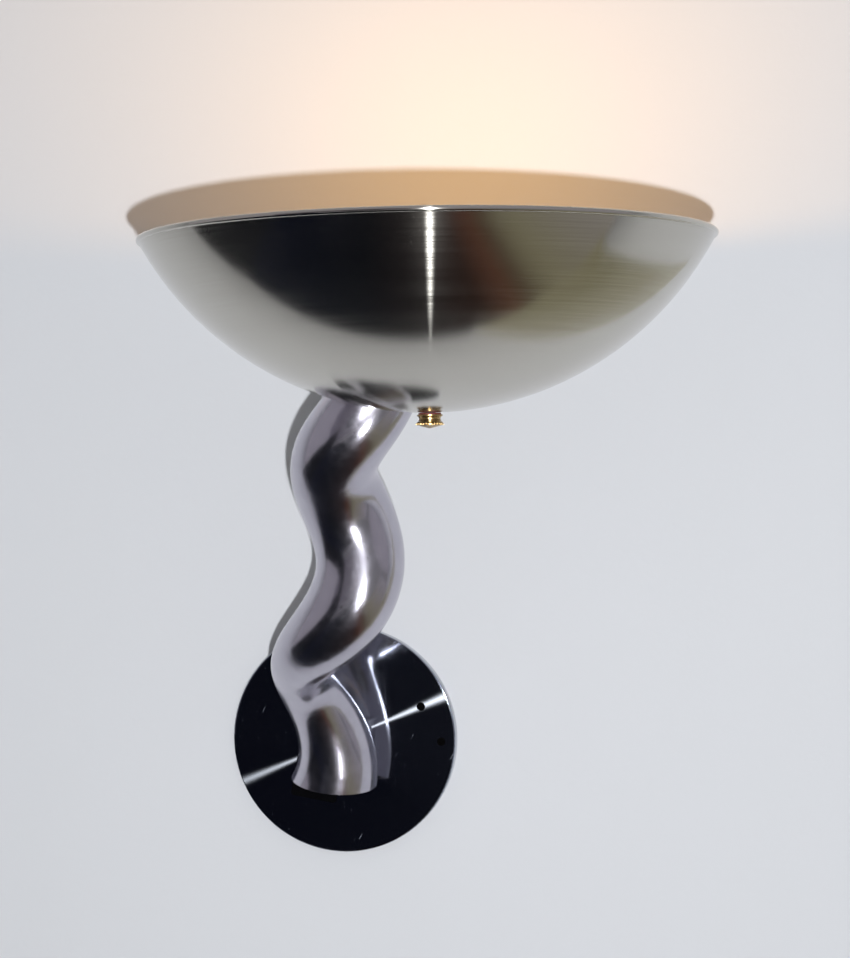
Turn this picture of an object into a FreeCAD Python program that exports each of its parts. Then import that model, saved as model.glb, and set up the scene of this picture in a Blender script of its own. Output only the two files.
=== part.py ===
import FreeCAD, Part
import math
import os

# Wall uplighter: a round spun bowl on a hollow cast corkscrew arm that rises from a round wall disc.
# Millimetres. X to the right, Z up, the wall is the plane Y = 0 and the lamp stands out along -Y.
# The origin is the disc's centre on the wall.

Vector = FreeCAD.Vector
UP = Vector(0, 0, 1)
RIGHT = Vector(1, 0, 0)
TO_WALL = Vector(0, 1, 0)
TO_ROOM = Vector(0, -1, 0)

# Clearances and fits
SEAT_GAP = 0.3
THREAD_FIT = 0.05
RUNNING_FIT = 0.06

# Wall disc
DISC_RADIUS = 68.0
DISC_DEPTH = 8.0
DISC_FACE = 2.5
DISC_RIM_WALL = 2.5
DISC_EDGE_ROUND = 0.8

# Wall bracket behind the disc
BRACKET_SHEET = 2.0
BRACKET_HEIGHT = 26.0
BRACKET_SLOT_RADIUS = 2.5
BRACKET_SLOT_LENGTH = 12.0
BRACKET_SLOT_SPACING = 60.0
BRACKET_CABLE_RADIUS = 9.0
TONGUE_WIDTH = 16.0
TONGUE_LENGTH = 10.0
LEDGE_THICKNESS = 1.1
LEDGE_REACH = 5.0

# The two black screws that lock the disc to the bracket
LOCK_SCREW_RADIUS = 2.5
LOCK_SCREW_SINK = 0.4
LOCK_SCREW_SOCKET_DEPTH = 1.6
LOCK_SCREW_SOCKET_FLATS = 2.5
LOCK_BOSS_RADIUS = 4.2
UPPER_LOCK_X = 47.4
UPPER_LOCK_Z = 19.5
LOWER_LOCK_X = 59.4
LOWER_LOCK_Z = -1.5

# Cable slot in the disc and its black bush
BUSH_WIDTH = 28.0
BUSH_HEIGHT = 20.0
BUSH_CENTRE_X = -17.3
BUSH_CENTRE_Z = -26.3
BUSH_TURN = 11.0
BUSH_PROUD = 1.2
BUSH_WALL = 2.0
BUSH_CORNER = 2.0

# Arm: a helix wound round a leaning, curved axis
ARM_FOOT_X = -19.5
ARM_FOOT_REACH = 20.7
ARM_FOOT_Z = -27.2
ARM_PULL_X = 21.6
ARM_PULL_REACH = 137.6
ARM_PULL_Z = 94.7
ARM_TOP_X = 43.5
ARM_TOP_REACH = 161.8
ARM_TOP_Z = 199.7
ARM_TURNS = 1.945
ARM_START_ANGLE = -34.6
ARM_TURN_DRIFT = -0.052
ARM_SWING_FOOT = 15.9
ARM_SWING_TOP = 9.1
ARM_SWING_FLATTEN = 0.754
ARM_RADIUS_FOOT = 27.8
ARM_RADIUS_MIDDLE = 25.7
ARM_RADIUS_TOP = 22.5
ARM_WAIST_DEPTH = 10.3
ARM_WAIST_PLACE = 0.26
ARM_WAIST_SPAN = 0.195
ARM_WALL = 4.0
ARM_HEAD = 15.0
ARM_STATIONS = 30
ARM_RING_POINTS = 16
ARM_END_X = -1.0
ARM_END_REACH = 31.0
ARM_END_Z = -23.5
ARM_END_SLOPE_X = -0.12
ARM_END_SLOPE_Y = 0.2

# Flat pad on the arm's back, where it is screwed to the disc
PAD_LEFT = -21.0
PAD_RIGHT = 17.0
PAD_TOP = 12.0
PAD_DEPTH = 15.0
PASSAGE_RADIUS = 4.5
PASSAGE_X = -14.0
PASSAGE_Z = -13.0

# Screws from behind the disc into the pad
FOOT_SCREW_RADIUS = 2.5
FOOT_SCREW_BITE = 8.0
FOOT_HEAD_RADIUS = 4.6
FOOT_HEAD_HEIGHT = 2.2
FOOT_WASHER_RADIUS = 6.0
FOOT_WASHER_THICKNESS = 0.8
RIGHT_FOOT_SCREW_X = 8.0
RIGHT_FOOT_SCREW_Z = -9.0
LEFT_FOOT_SCREW_X = -8.0
LEFT_FOOT_SCREW_Z = 4.0

# Black plug in the arm's lower end
PLUG_THICKNESS = 3.0
PLUG_SINK = 1.0
PLUG_FIT = 0.15

# Terminal block on the pad, inside the arm
BLOCK_WIDTH = 17.0
BLOCK_HEIGHT = 11.0
BLOCK_DEPTH = 9.0
BLOCK_WAYS = 3
BLOCK_WAY_RADIUS = 1.4
BLOCK_SCREW_RADIUS = 1.3
BLOCK_SCREW_SINK = 0.5
BLOCK_CENTRE_X = 0.8
BLOCK_CENTRE_Z = -4.0

# Bowl: a spherical cap with a beaded rim
BOWL_RADIUS = 150.0
BOWL_DEPTH = 91.2
BOWL_SHEET = 1.4
BOWL_CENTRE_X = 87.7
BOWL_REACH = 209.9
BOWL_RIM_Z = 281.3
BEAD_RADIUS = 1.5

# Joint between the arm and the bowl
GASKET_THICKNESS = 1.5
GASKET_MARGIN = 3.0
NIPPLE_RADIUS = 5.0
NIPPLE_BORE = 3.6
NIPPLE_BITE = 12.0
NIPPLE_NUT_FLATS = 14.0
NIPPLE_NUT_HEIGHT = 5.0
NIPPLE_END = 2.0
SEAT_WASHER_RADIUS = 11.0
SEAT_WASHER_THICKNESS = 1.6

# Centre stud and what it clamps
STUD_RADIUS = 3.0
STUD_HOLE_CLEARANCE = 0.3
STUD_NUT_FLATS = 10.0
STUD_NUT_HEIGHT = 4.0
STUD_TIP = 1.0
SPACER_RADIUS = 6.0
CARRIER_CLEARANCE = 3.0
REFLECTOR_RISE = 12.0

# Finial under the bowl
FINIAL_GAP = 0.15
WASHER_RADIUS = 5.9
WASHER_THICKNESS = 0.8
COLLAR_RADIUS = 6.7
COLLAR_HEIGHT = 0.9
COLLAR_CHAMFER = 0.2
NUT_NECK_RADIUS = 6.1
NUT_WAIST_RADIUS = 5.6
NUT_WAIST_HEIGHT = 2.4
NUT_GROOVE_RADIUS = 5.3
NUT_GROOVE_HEIGHT = 0.3
NUT_FLARE_RADIUS = 6.2
NUT_KNURL_RADIUS = 7.25
NUT_KNURL_HEIGHT = 1.8
NUT_KNURL_CHAMFER = 0.25
NUT_TIP_HEIGHT = 1.65
NUT_TIP_RADIUS = 0.6
NUT_BORE_DEPTH = 4.3
KNURL_COUNT = 30
KNURL_DEPTH = 0.35

# Linear halogen lamp and its two holders
LAMP_LENGTH = 114.2
LAMP_TUBE_LENGTH = 84.0
LAMP_TUBE_RADIUS = 5.2
LAMP_GLASS = 1.0
LAMP_CAP_RADIUS = 3.8
LAMP_CAP_TIP_RADIUS = 2.4
LAMP_CAP_TIP_LENGTH = 1.6
FILAMENT_RADIUS = 0.8
FILAMENT_LENGTH = 68.0
LAMP_ABOVE_REFLECTOR = 15.2
HOLDER_GRIP = 6.0
HOLDER_WIDTH = 16.0
HOLDER_BELOW = 14.0
HOLDER_ABOVE = 7.0
HOLDER_BACK_WALL = 4.0
HOLDER_SOCKET_CLEARANCE = 0.8
PLUNGER_RADIUS = 3.0
PLUNGER_LENGTH = 5.0
PLUNGER_NOSE_RADIUS = 1.8
PLUNGER_NOSE_LENGTH = 1.2
PLUNGER_TRAVEL = 3.0
SPRING_OUTER_RADIUS = 2.7
SPRING_INNER_RADIUS = 1.9
SPRING_SOLID_LENGTH = 4.0

# Carrier bridge and reflector
CARRIER_SHEET = 2.0
CARRIER_WIDTH = 24.0
CARRIER_BEND = 3.0
EAR_ABOVE_AXIS = 4.0
HOLDER_SCREW_RADIUS = 1.5
HOLDER_SCREW_BITE = 2.8
HOLDER_SCREW_HEAD_RADIUS = 2.8
HOLDER_SCREW_HEAD_HEIGHT = 1.8
HOLDER_SCREW_BELOW_AXIS = 9.5
REFLECTOR_SHEET = 0.8
REFLECTOR_LENGTH = 86.0
REFLECTOR_FLOOR = 14.0
REFLECTOR_WING = 16.0

# Earth bond on the carrier
EARTH_SCREW_RADIUS = 2.0
EARTH_HEAD_RADIUS = 3.5
EARTH_HEAD_HEIGHT = 2.2
EARTH_RING_RADIUS = 4.0
EARTH_RING_THICKNESS = 0.8
EARTH_BARREL_LENGTH = 5.0
EARTH_BARREL_RADIUS = 1.5
EARTH_PLACE_X = -25.0

# Inner leads
LEAD_RADIUS = 0.9
LEAD_SPREAD_ARM = 2.6
LEAD_SPREAD_NIPPLE = 1.7
LEAD_ENTRY_BELOW_AXIS = 8.5
LEAD_STRAIGHT = 2.5

# Worked out from the values above
DISC_BACK_OF_FACE = DISC_DEPTH - DISC_FACE
DISC_INNER_RADIUS = DISC_RADIUS - DISC_RIM_WALL
BOWL_SPHERE_RADIUS = (BOWL_RADIUS ** 2 + BOWL_DEPTH ** 2) / (2 * BOWL_DEPTH)
BOWL_INNER_RADIUS = BOWL_SPHERE_RADIUS - BOWL_SHEET
BOWL_BOTTOM_Z = BOWL_RIM_Z - BOWL_DEPTH
BOWL_AXIS_POINT = Vector(BOWL_CENTRE_X, -BOWL_REACH, 0)
SPHERE_CENTRE = BOWL_AXIS_POINT + UP * (BOWL_BOTTOM_Z + BOWL_SPHERE_RADIUS)
HOLDER_INNER_X = LAMP_LENGTH / 2 - HOLDER_GRIP
HOLDER_LENGTH = HOLDER_GRIP + PLUNGER_LENGTH + PLUNGER_TRAVEL + SPRING_SOLID_LENGTH + HOLDER_BACK_WALL
HOLDER_OUTER_X = HOLDER_INNER_X + HOLDER_LENGTH
HOLDER_MIDDLE_X = HOLDER_INNER_X + HOLDER_LENGTH / 2
CARRIER_HALF_LENGTH = HOLDER_OUTER_X + CARRIER_SHEET


def bowl_inner_z(distance):
    """Height of the bowl's inner face at a distance from its axis."""
    return SPHERE_CENTRE.z - math.sqrt(BOWL_INNER_RADIUS ** 2 - distance ** 2)


CARRIER_CORNER = math.hypot(CARRIER_HALF_LENGTH, CARRIER_WIDTH / 2)
CARRIER_Z = bowl_inner_z(CARRIER_CORNER) + CARRIER_CLEARANCE
CARRIER_TOP_Z = CARRIER_Z + CARRIER_SHEET
REFLECTOR_Z = CARRIER_TOP_Z + STUD_NUT_HEIGHT + REFLECTOR_RISE
LAMP_Z = REFLECTOR_Z + REFLECTOR_SHEET + LAMP_ABOVE_REFLECTOR
WASHER_TOP_Z = BOWL_BOTTOM_Z - FINIAL_GAP
COLLAR_TOP_Z = WASHER_TOP_Z - WASHER_THICKNESS
NUT_TOP_Z = COLLAR_TOP_Z - COLLAR_HEIGHT


def cylinder(radius, length, base, direction=UP):
    """Solid cylinder from base along direction."""
    return Part.makeCylinder(radius, length, base, direction)


def box(x_low, x_high, y_low, y_high, z_low, z_high):
    """Box between two corners, whichever way round each pair is given."""
    low = Vector(min(x_low, x_high), min(y_low, y_high), min(z_low, z_high))
    size = Vector(abs(x_high - x_low), abs(y_high - y_low), abs(z_high - z_low))
    return Part.makeBox(size.x, size.y, size.z, low)


def hexagon(across_flats, height, base, direction=UP):
    """Hexagonal prism from base along direction."""
    corner = across_flats / math.sqrt(3)
    side = direction.cross(TO_WALL)
    if side.Length < 0.1:
        side = direction.cross(UP)
    side.normalize()
    other = direction.cross(side)
    points = []
    for step in range(7):
        angle = math.radians(60 * step)
        points.append(base + side * (corner * math.cos(angle)) + other * (corner * math.sin(angle)))
    return Part.Face(Part.makePolygon(points)).extrude(direction * height)


def turned(profile, axis_point=BOWL_AXIS_POINT):
    """Solid of revolution about a vertical axis. The profile is (radius, height) points in order."""
    points = [axis_point + RIGHT * radius + UP * height for radius, height in profile]
    face = Part.Face(Part.makePolygon(points + points[:1]))
    return face.revolve(axis_point, UP, 360)


def by_bowl(x, y, z):
    """Point given from the bowl's axis, with z measured from the origin."""
    return BOWL_AXIS_POINT + Vector(x, y, z)


# ---------------------------------------------------------------- the arm's shape

def arm_axis(share):
    """Point on the leaning axis that the corkscrew winds round, from foot (0) to top (1)."""
    foot = Vector(ARM_FOOT_X, -ARM_FOOT_REACH, ARM_FOOT_Z)
    pull = Vector(ARM_PULL_X, -ARM_PULL_REACH, ARM_PULL_Z)
    top = Vector(ARM_TOP_X, -ARM_TOP_REACH, ARM_TOP_Z)
    return foot * (1 - share) ** 2 + pull * (2 * share * (1 - share)) + top * share ** 2


def arm_centre(share):
    """Point on the corkscrew's own centre line."""
    step = 0.001
    along = arm_axis(share + step) - arm_axis(share - step)
    along.normalize()
    side = RIGHT - along * along.x
    side.normalize()
    depth = along.cross(side)
    turns = ARM_TURNS * share + ARM_TURN_DRIFT * share * (1 - share)
    angle = math.radians(ARM_START_ANGLE) + 2 * math.pi * turns
    swing = ARM_SWING_FOOT + (ARM_SWING_TOP - ARM_SWING_FOOT) * share
    sideways = side * (swing * math.cos(angle))
    inwards = depth * (swing * ARM_SWING_FLATTEN * math.sin(angle))
    return arm_axis(share) + sideways + inwards


def arm_direction(share):
    """Unit vector along the corkscrew's centre line, towards the top."""
    step = 0.001
    along = arm_centre(share + step) - arm_centre(share - step)
    along.normalize()
    return along


def arm_radius(share):
    """Outer radius of the corkscrew tube."""
    foot = ARM_RADIUS_FOOT * (1 - share) * (1 - 2 * share)
    middle = ARM_RADIUS_MIDDLE * 4 * share * (1 - share)
    top = ARM_RADIUS_TOP * share * (2 * share - 1)
    waist = ARM_WAIST_DEPTH * math.exp(-((share - ARM_WAIST_PLACE) / ARM_WAIST_SPAN) ** 2)
    return foot + middle + top - waist


def corkscrew(inset, first, last):
    """Solid corkscrew tube, inset from the arm's outer face, between two shares of its length.
    Its surface passes through points on circles round the centre line, with the seam at the back."""
    rows = []
    for station in range(ARM_STATIONS + 1):
        share = first + (last - first) * station / ARM_STATIONS
        along = arm_direction(share)
        side = RIGHT - along * along.x
        side.normalize()
        back = along.cross(side)
        centre = arm_centre(share)
        radius = arm_radius(share) - inset
        row = []
        for step in range(ARM_RING_POINTS + 1):
            angle = 2 * math.pi * step / ARM_RING_POINTS
            row.append(centre + back * (radius * math.cos(angle)) - side * (radius * math.sin(angle)))
        rows.append(row)
    surface = Part.BSplineSurface()
    surface.interpolate(rows)
    wall = surface.toShape()
    rims = [edge for edge in wall.Edges if edge.isClosed()]
    ends = [Part.Face(Part.Wire([edge])) for edge in rims]
    shell = Part.Shell([wall] + ends)
    shell.sewShape()
    tube = Part.Solid(shell)
    if tube.Volume < 0:
        tube.reverse()
    return tube


SEAT_OUT = arm_centre(1.0) - SPHERE_CENTRE
SEAT_OUT.normalize()
SEAT_IN = SEAT_OUT * -1


def seat_point(distance):
    """Point on the line through the arm's seat, at a distance from the bowl's sphere centre."""
    return SPHERE_CENTRE + SEAT_OUT * distance


def arm_end_slab(first, last):
    """Slab parallel to the arm's cut lower end, between two depths measured up into the arm."""
    normal = Vector(-ARM_END_SLOPE_X, -ARM_END_SLOPE_Y, 1)
    normal.normalize()
    middle = Vector(ARM_END_X, -ARM_END_REACH, ARM_END_Z)
    reach = 3 * ARM_RADIUS_FOOT
    side = RIGHT - normal * normal.x
    side.normalize()
    other = normal.cross(side)
    corner = middle + normal * first - side * reach - other * reach
    points = [corner, corner + side * (2 * reach), corner + (side + other) * (2 * reach),
              corner + other * (2 * reach), corner]
    return Part.Face(Part.makePolygon(points)).extrude(normal * (last - first))


def foot_screw_places():
    """The two screws that hold the arm to the disc, as (x, z)."""
    return [(RIGHT_FOOT_SCREW_X, RIGHT_FOOT_SCREW_Z), (LEFT_FOOT_SCREW_X, LEFT_FOOT_SCREW_Z)]


def pad_block():
    """Block that gives the arm its flat back and the flat seat of the terminal block."""
    lowest = ARM_END_Z - ARM_RADIUS_FOOT
    return box(PAD_LEFT, PAD_RIGHT, -DISC_DEPTH, -DISC_DEPTH - PAD_DEPTH, lowest, PAD_TOP)


def make_arm():
    """Hollow casting: corkscrew tube, solid head under the bowl, flat pad at the disc."""
    below = -0.08
    head_share = 1.0 - ARM_HEAD / (arm_centre(1.0) - arm_centre(0.9)).Length * 0.1
    outer = corkscrew(0, below, 1.08)
    inner = corkscrew(ARM_WALL, below - 0.01, head_share)
    body = outer.cut(inner).fuse(pad_block())
    far = 4 * ARM_RADIUS_FOOT
    body = body.cut(arm_end_slab(-far, 0))
    body = body.cut(box(-far, far, -DISC_DEPTH, far, -far, far))
    bowl_space = Part.makeSphere(BOWL_SPHERE_RADIUS + GASKET_THICKNESS, SPHERE_CENTRE)
    body = body.cut(bowl_space)
    nipple_hole = cylinder(NIPPLE_RADIUS + THREAD_FIT, 2 * ARM_HEAD,
                           seat_point(BOWL_SPHERE_RADIUS), SEAT_OUT)
    body = body.cut(nipple_hole)
    for x, z in foot_screw_places():
        body = body.cut(cylinder(FOOT_SCREW_RADIUS + THREAD_FIT, FOOT_SCREW_BITE + 1,
                                 Vector(x, -DISC_DEPTH, z), TO_ROOM))
    passage = cylinder(PASSAGE_RADIUS, PAD_DEPTH + 2, Vector(PASSAGE_X, 1 - DISC_DEPTH, PASSAGE_Z), TO_ROOM)
    return body.cut(passage)


def make_arm_end_plug():
    """Black plug let into the arm's open lower end."""
    filling = corkscrew(ARM_WALL + PLUG_FIT, -0.09, 0.4)
    plug = filling.common(arm_end_slab(PLUG_SINK, PLUG_SINK + PLUG_THICKNESS))
    far = 4 * ARM_RADIUS_FOOT
    behind = box(-far, far, -DISC_DEPTH - PAD_DEPTH - PLUG_FIT, far, -far, far)
    return plug.cut(behind)


# ---------------------------------------------------------------- at the wall

def lock_screw_places():
    """The disc's two lock screws, as (x, z)."""
    return [(UPPER_LOCK_X, UPPER_LOCK_Z), (LOWER_LOCK_X, LOWER_LOCK_Z)]


def bush_outline(inset, depth_from, depth_to):
    """Rounded, slightly turned rectangle of the cable slot, as a block between two depths."""
    half_width = BUSH_WIDTH / 2 - inset
    half_height = BUSH_HEIGHT / 2 - inset
    block = box(-half_width, half_width, -depth_from, -depth_to, -half_height, half_height)
    uprights = [edge for edge in block.Edges if abs(edge.Vertexes[0].Y - edge.Vertexes[1].Y) > 0.1]
    block = block.makeFillet(max(BUSH_CORNER - inset, 0.5), uprights)
    block.rotate(Vector(0, 0, 0), TO_WALL, BUSH_TURN)
    block.translate(Vector(BUSH_CENTRE_X, 0, BUSH_CENTRE_Z))
    return block


def make_wall_disc():
    """Shallow turned cup: polished face, thin rim to the wall, cable slot, screw holes and a ledge."""
    disc = cylinder(DISC_RADIUS, DISC_DEPTH, Vector(0, 0, 0), TO_ROOM)
    front_edge = [edge for edge in disc.Edges if abs(edge.BoundBox.YMax + DISC_DEPTH) < 0.01]
    disc = disc.makeFillet(DISC_EDGE_ROUND, front_edge)
    disc = disc.cut(cylinder(DISC_INNER_RADIUS, DISC_BACK_OF_FACE, Vector(0, 0, 0), TO_ROOM))
    disc = disc.cut(bush_outline(0, -1, DISC_DEPTH + 1))
    for x, z in foot_screw_places():
        disc = disc.cut(cylinder(FOOT_SCREW_RADIUS + SEAT_GAP, DISC_DEPTH + 1, Vector(x, 0, z), TO_ROOM))
    for x, z in lock_screw_places():
        disc = disc.cut(cylinder(LOCK_SCREW_RADIUS + THREAD_FIT, DISC_DEPTH + 1, Vector(x, 0, z), TO_ROOM))
    ledge_inner = DISC_INNER_RADIUS - LEDGE_REACH
    ledge = box(-DISC_RADIUS, -ledge_inner, -SEAT_GAP, -SEAT_GAP - LEDGE_THICKNESS,
                -TONGUE_WIDTH / 2 - 2, TONGUE_WIDTH / 2 + 2)
    ledge = ledge.common(cylinder(DISC_INNER_RADIUS + 0.5, DISC_DEPTH, Vector(0, 0, 0), TO_ROOM))
    return disc.fuse(ledge).removeSplitter()


def make_wall_bracket():
    """Steel strap on the wall: two slots, a cable hole, a raised tongue and two tapped bosses."""
    tongue_tip = DISC_INNER_RADIUS - SEAT_GAP
    strap_left = tongue_tip - TONGUE_LENGTH
    fit_inside = cylinder(DISC_INNER_RADIUS - SEAT_GAP, DISC_DEPTH, Vector(0, 0, 0), TO_ROOM)
    half = BRACKET_HEIGHT / 2
    strap = box(-strap_left, DISC_RADIUS, 0, -BRACKET_SHEET, -half, half)
    ear = box(UPPER_LOCK_X - LOCK_BOSS_RADIUS - 2, DISC_RADIUS, 0, -BRACKET_SHEET,
              0, UPPER_LOCK_Z + LOCK_BOSS_RADIUS + 2)
    tongue_low = LEDGE_THICKNESS + 2 * SEAT_GAP
    tongue = box(-tongue_tip - 1, -strap_left, -tongue_low, -tongue_low - BRACKET_SHEET,
                 -TONGUE_WIDTH / 2, TONGUE_WIDTH / 2)
    step = box(-strap_left, -strap_left + BRACKET_SHEET, 0, -tongue_low - BRACKET_SHEET,
               -TONGUE_WIDTH / 2, TONGUE_WIDTH / 2)
    bracket = strap.fuse([ear, tongue, step]).common(fit_inside)
    boss_height = DISC_BACK_OF_FACE - SEAT_GAP
    for x, z in lock_screw_places():
        bracket = bracket.fuse(cylinder(LOCK_BOSS_RADIUS, boss_height, Vector(x, 0, z), TO_ROOM))
    for x, z in lock_screw_places():
        bracket = bracket.cut(cylinder(LOCK_SCREW_RADIUS + THREAD_FIT, DISC_DEPTH,
                                       Vector(x, 1, z), TO_ROOM))
    for side in (-1, 1):
        middle = side * BRACKET_SLOT_SPACING / 2
        straight = (BRACKET_SLOT_LENGTH - 2 * BRACKET_SLOT_RADIUS) / 2
        slot = box(middle - straight, middle + straight, 1, -DISC_DEPTH,
                   -BRACKET_SLOT_RADIUS, BRACKET_SLOT_RADIUS)
        for end in (-1, 1):
            slot = slot.fuse(cylinder(BRACKET_SLOT_RADIUS, DISC_DEPTH + 1,
                                      Vector(middle + end * straight, 1, 0), TO_ROOM))
        bracket = bracket.cut(slot)
    cable = cylinder(BRACKET_CABLE_RADIUS, DISC_DEPTH, Vector(0, 1, 0), TO_ROOM)
    return bracket.cut(cable).removeSplitter()


def make_disc_lock_screws():
    """Two socket set screws, sunk just below the disc's face."""
    screws = []
    length = DISC_DEPTH - LOCK_SCREW_SINK - BRACKET_SHEET / 2
    for x, z in lock_screw_places():
        start = Vector(x, -BRACKET_SHEET / 2, z)
        screw = cylinder(LOCK_SCREW_RADIUS, length, start, TO_ROOM)
        socket = hexagon(LOCK_SCREW_SOCKET_FLATS, LOCK_SCREW_SOCKET_DEPTH,
                         start + TO_ROOM * (length - LOCK_SCREW_SOCKET_DEPTH), TO_ROOM)
        screws.append(screw.cut(socket))
    return Part.makeCompound(screws)


def make_cable_bush():
    """Black moulded bush that lines the cable slot, with a hole for the mains lead."""
    flange = bush_outline(0, DISC_BACK_OF_FACE, DISC_DEPTH + BUSH_PROUD)
    arm_space = pad_block()
    outer = corkscrew(-SEAT_GAP, -0.08, 0.3).cut(arm_end_slab(-3 * ARM_RADIUS_FOOT, -SEAT_GAP))
    hole = cylinder(PASSAGE_RADIUS, DISC_DEPTH + 4, Vector(PASSAGE_X, 1, PASSAGE_Z - BUSH_WALL), TO_ROOM)
    proud = box(-DISC_RADIUS, DISC_RADIUS, -DISC_DEPTH, -DISC_DEPTH - 4, -DISC_RADIUS, DISC_RADIUS)
    arm_foot = outer.fuse(arm_space.cut(arm_end_slab(-3 * ARM_RADIUS_FOOT, -SEAT_GAP))).common(proud)
    return flange.cut(arm_foot).cut(hole)


def make_foot_screws():
    """Two screws from behind the disc into the arm's pad."""
    screws = []
    head_back = DISC_BACK_OF_FACE - FOOT_WASHER_THICKNESS - FOOT_HEAD_HEIGHT
    shank = FOOT_HEAD_HEIGHT + FOOT_WASHER_THICKNESS + DISC_FACE + FOOT_SCREW_BITE
    for x, z in foot_screw_places():
        start = Vector(x, -head_back, z)
        head = cylinder(FOOT_HEAD_RADIUS, FOOT_HEAD_HEIGHT, start, TO_ROOM)
        screw = head.fuse(cylinder(FOOT_SCREW_RADIUS, shank, start, TO_ROOM)).removeSplitter()
        socket = hexagon(FOOT_SCREW_RADIUS * 1.6, FOOT_HEAD_HEIGHT * 0.6, start, TO_ROOM)
        screws.append(screw.cut(socket))
    return Part.makeCompound(screws)


def make_foot_washers():
    """Washers under the foot screws' heads, trimmed where they would reach the cable slot."""
    washers = []
    for x, z in foot_screw_places():
        start = Vector(x, -DISC_BACK_OF_FACE + FOOT_WASHER_THICKNESS, z)
        ring = cylinder(FOOT_WASHER_RADIUS, FOOT_WASHER_THICKNESS, start, TO_ROOM)
        hole = cylinder(FOOT_SCREW_RADIUS + THREAD_FIT, FOOT_WASHER_THICKNESS, start, TO_ROOM)
        washers.append(ring.cut(hole))
    return Part.makeCompound(washers)


# ---------------------------------------------------------------- terminal block in the arm

def block_way_x(way):
    """X of one of the terminal block's ways."""
    return BLOCK_CENTRE_X + (way - (BLOCK_WAYS - 1) / 2) * BLOCK_WIDTH / BLOCK_WAYS


def block_way_y():
    """Y of the terminal block's wire holes."""
    return -DISC_DEPTH - PAD_DEPTH - BLOCK_DEPTH * 0.45


def make_terminal_block():
    """Insulating block with one wire hole and two screw wells for each way."""
    back = -DISC_DEPTH - PAD_DEPTH
    low = BLOCK_CENTRE_Z - BLOCK_HEIGHT / 2
    block = box(BLOCK_CENTRE_X - BLOCK_WIDTH / 2, BLOCK_CENTRE_X + BLOCK_WIDTH / 2,
                back, back - BLOCK_DEPTH, low, low + BLOCK_HEIGHT)
    for way in range(BLOCK_WAYS):
        x = block_way_x(way)
        block = block.cut(cylinder(BLOCK_WAY_RADIUS, BLOCK_HEIGHT + 2, Vector(x, block_way_y(), low - 1)))
        for place in (0.25, 0.75):
            well = Vector(x, back - BLOCK_DEPTH, low + BLOCK_HEIGHT * place)
            block = block.cut(cylinder(BLOCK_SCREW_RADIUS + THREAD_FIT, BLOCK_DEPTH * 0.55, well, TO_WALL))
    return block


def make_terminal_screws():
    """Brass clamp screws of the terminal block, two for each way."""
    screws = []
    front = -DISC_DEPTH - PAD_DEPTH - BLOCK_DEPTH + BLOCK_SCREW_SINK
    reach = abs(front - block_way_y()) - BLOCK_WAY_RADIUS
    low = BLOCK_CENTRE_Z - BLOCK_HEIGHT / 2
    for way in range(BLOCK_WAYS):
        for place in (0.25, 0.75):
            start = Vector(block_way_x(way), front, low + BLOCK_HEIGHT * place)
            screw = cylinder(BLOCK_SCREW_RADIUS, reach, start, TO_WALL)
            groove = box(start.x - BLOCK_SCREW_RADIUS, start.x + BLOCK_SCREW_RADIUS,
                         front, front + 0.6, start.z - 0.25, start.z + 0.25)
            screws.append(screw.cut(groove))
    return Part.makeCompound(screws)


# ---------------------------------------------------------------- bowl and its seat

def make_bowl():
    """Spun spherical bowl with a beaded rim, a hole at the arm's seat and one for the stud."""
    def on_arc(radius, height):
        distance = math.sqrt(radius ** 2 - (SPHERE_CENTRE.z - height) ** 2)
        return by_bowl(distance, 0, height)

    rim_z = BOWL_RIM_Z - BEAD_RADIUS
    outer_bottom = by_bowl(0, 0, BOWL_BOTTOM_Z)
    inner_bottom = by_bowl(0, 0, BOWL_BOTTOM_Z + BOWL_SHEET)
    middle_z = BOWL_BOTTOM_Z + BOWL_DEPTH * 0.4
    outer_top = on_arc(BOWL_SPHERE_RADIUS, rim_z)
    inner_top = on_arc(BOWL_INNER_RADIUS, rim_z)
    edges = [
        Part.Arc(outer_bottom, on_arc(BOWL_SPHERE_RADIUS, middle_z), outer_top).toShape(),
        Part.LineSegment(outer_top, inner_top).toShape(),
        Part.Arc(inner_top, on_arc(BOWL_INNER_RADIUS, middle_z), inner_bottom).toShape(),
        Part.LineSegment(inner_bottom, outer_bottom).toShape(),
    ]
    shell = Part.Face(Part.Wire(edges)).revolve(BOWL_AXIS_POINT, UP, 360)
    bead = Part.makeTorus(BOWL_RADIUS - BEAD_RADIUS, BEAD_RADIUS, by_bowl(0, 0, rim_z))
    bowl = shell.fuse(bead)
    stud_hole = cylinder(STUD_RADIUS + STUD_HOLE_CLEARANCE, 4 * BOWL_SHEET,
                         by_bowl(0, 0, BOWL_BOTTOM_Z - BOWL_SHEET))
    seat_hole = cylinder(NIPPLE_RADIUS + THREAD_FIT, 6 * BOWL_SHEET,
                         seat_point(BOWL_INNER_RADIUS - 2 * BOWL_SHEET), SEAT_OUT)
    return bowl.cut(stud_hole).cut(seat_hole)


def make_bowl_gasket():
    """Thin pad between the arm's head and the bowl, a little smaller than the head."""
    shape = corkscrew(GASKET_MARGIN, 0.85, 1.1)
    outside = Part.makeSphere(BOWL_SPHERE_RADIUS + GASKET_THICKNESS, SPHERE_CENTRE)
    inside = Part.makeSphere(BOWL_SPHERE_RADIUS, SPHERE_CENTRE)
    pad = shape.common(outside).cut(inside)
    hole = cylinder(NIPPLE_RADIUS + THREAD_FIT, 3 * GASKET_THICKNESS,
                    seat_point(BOWL_SPHERE_RADIUS - GASKET_THICKNESS), SEAT_OUT)
    return pad.cut(hole)


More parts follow.
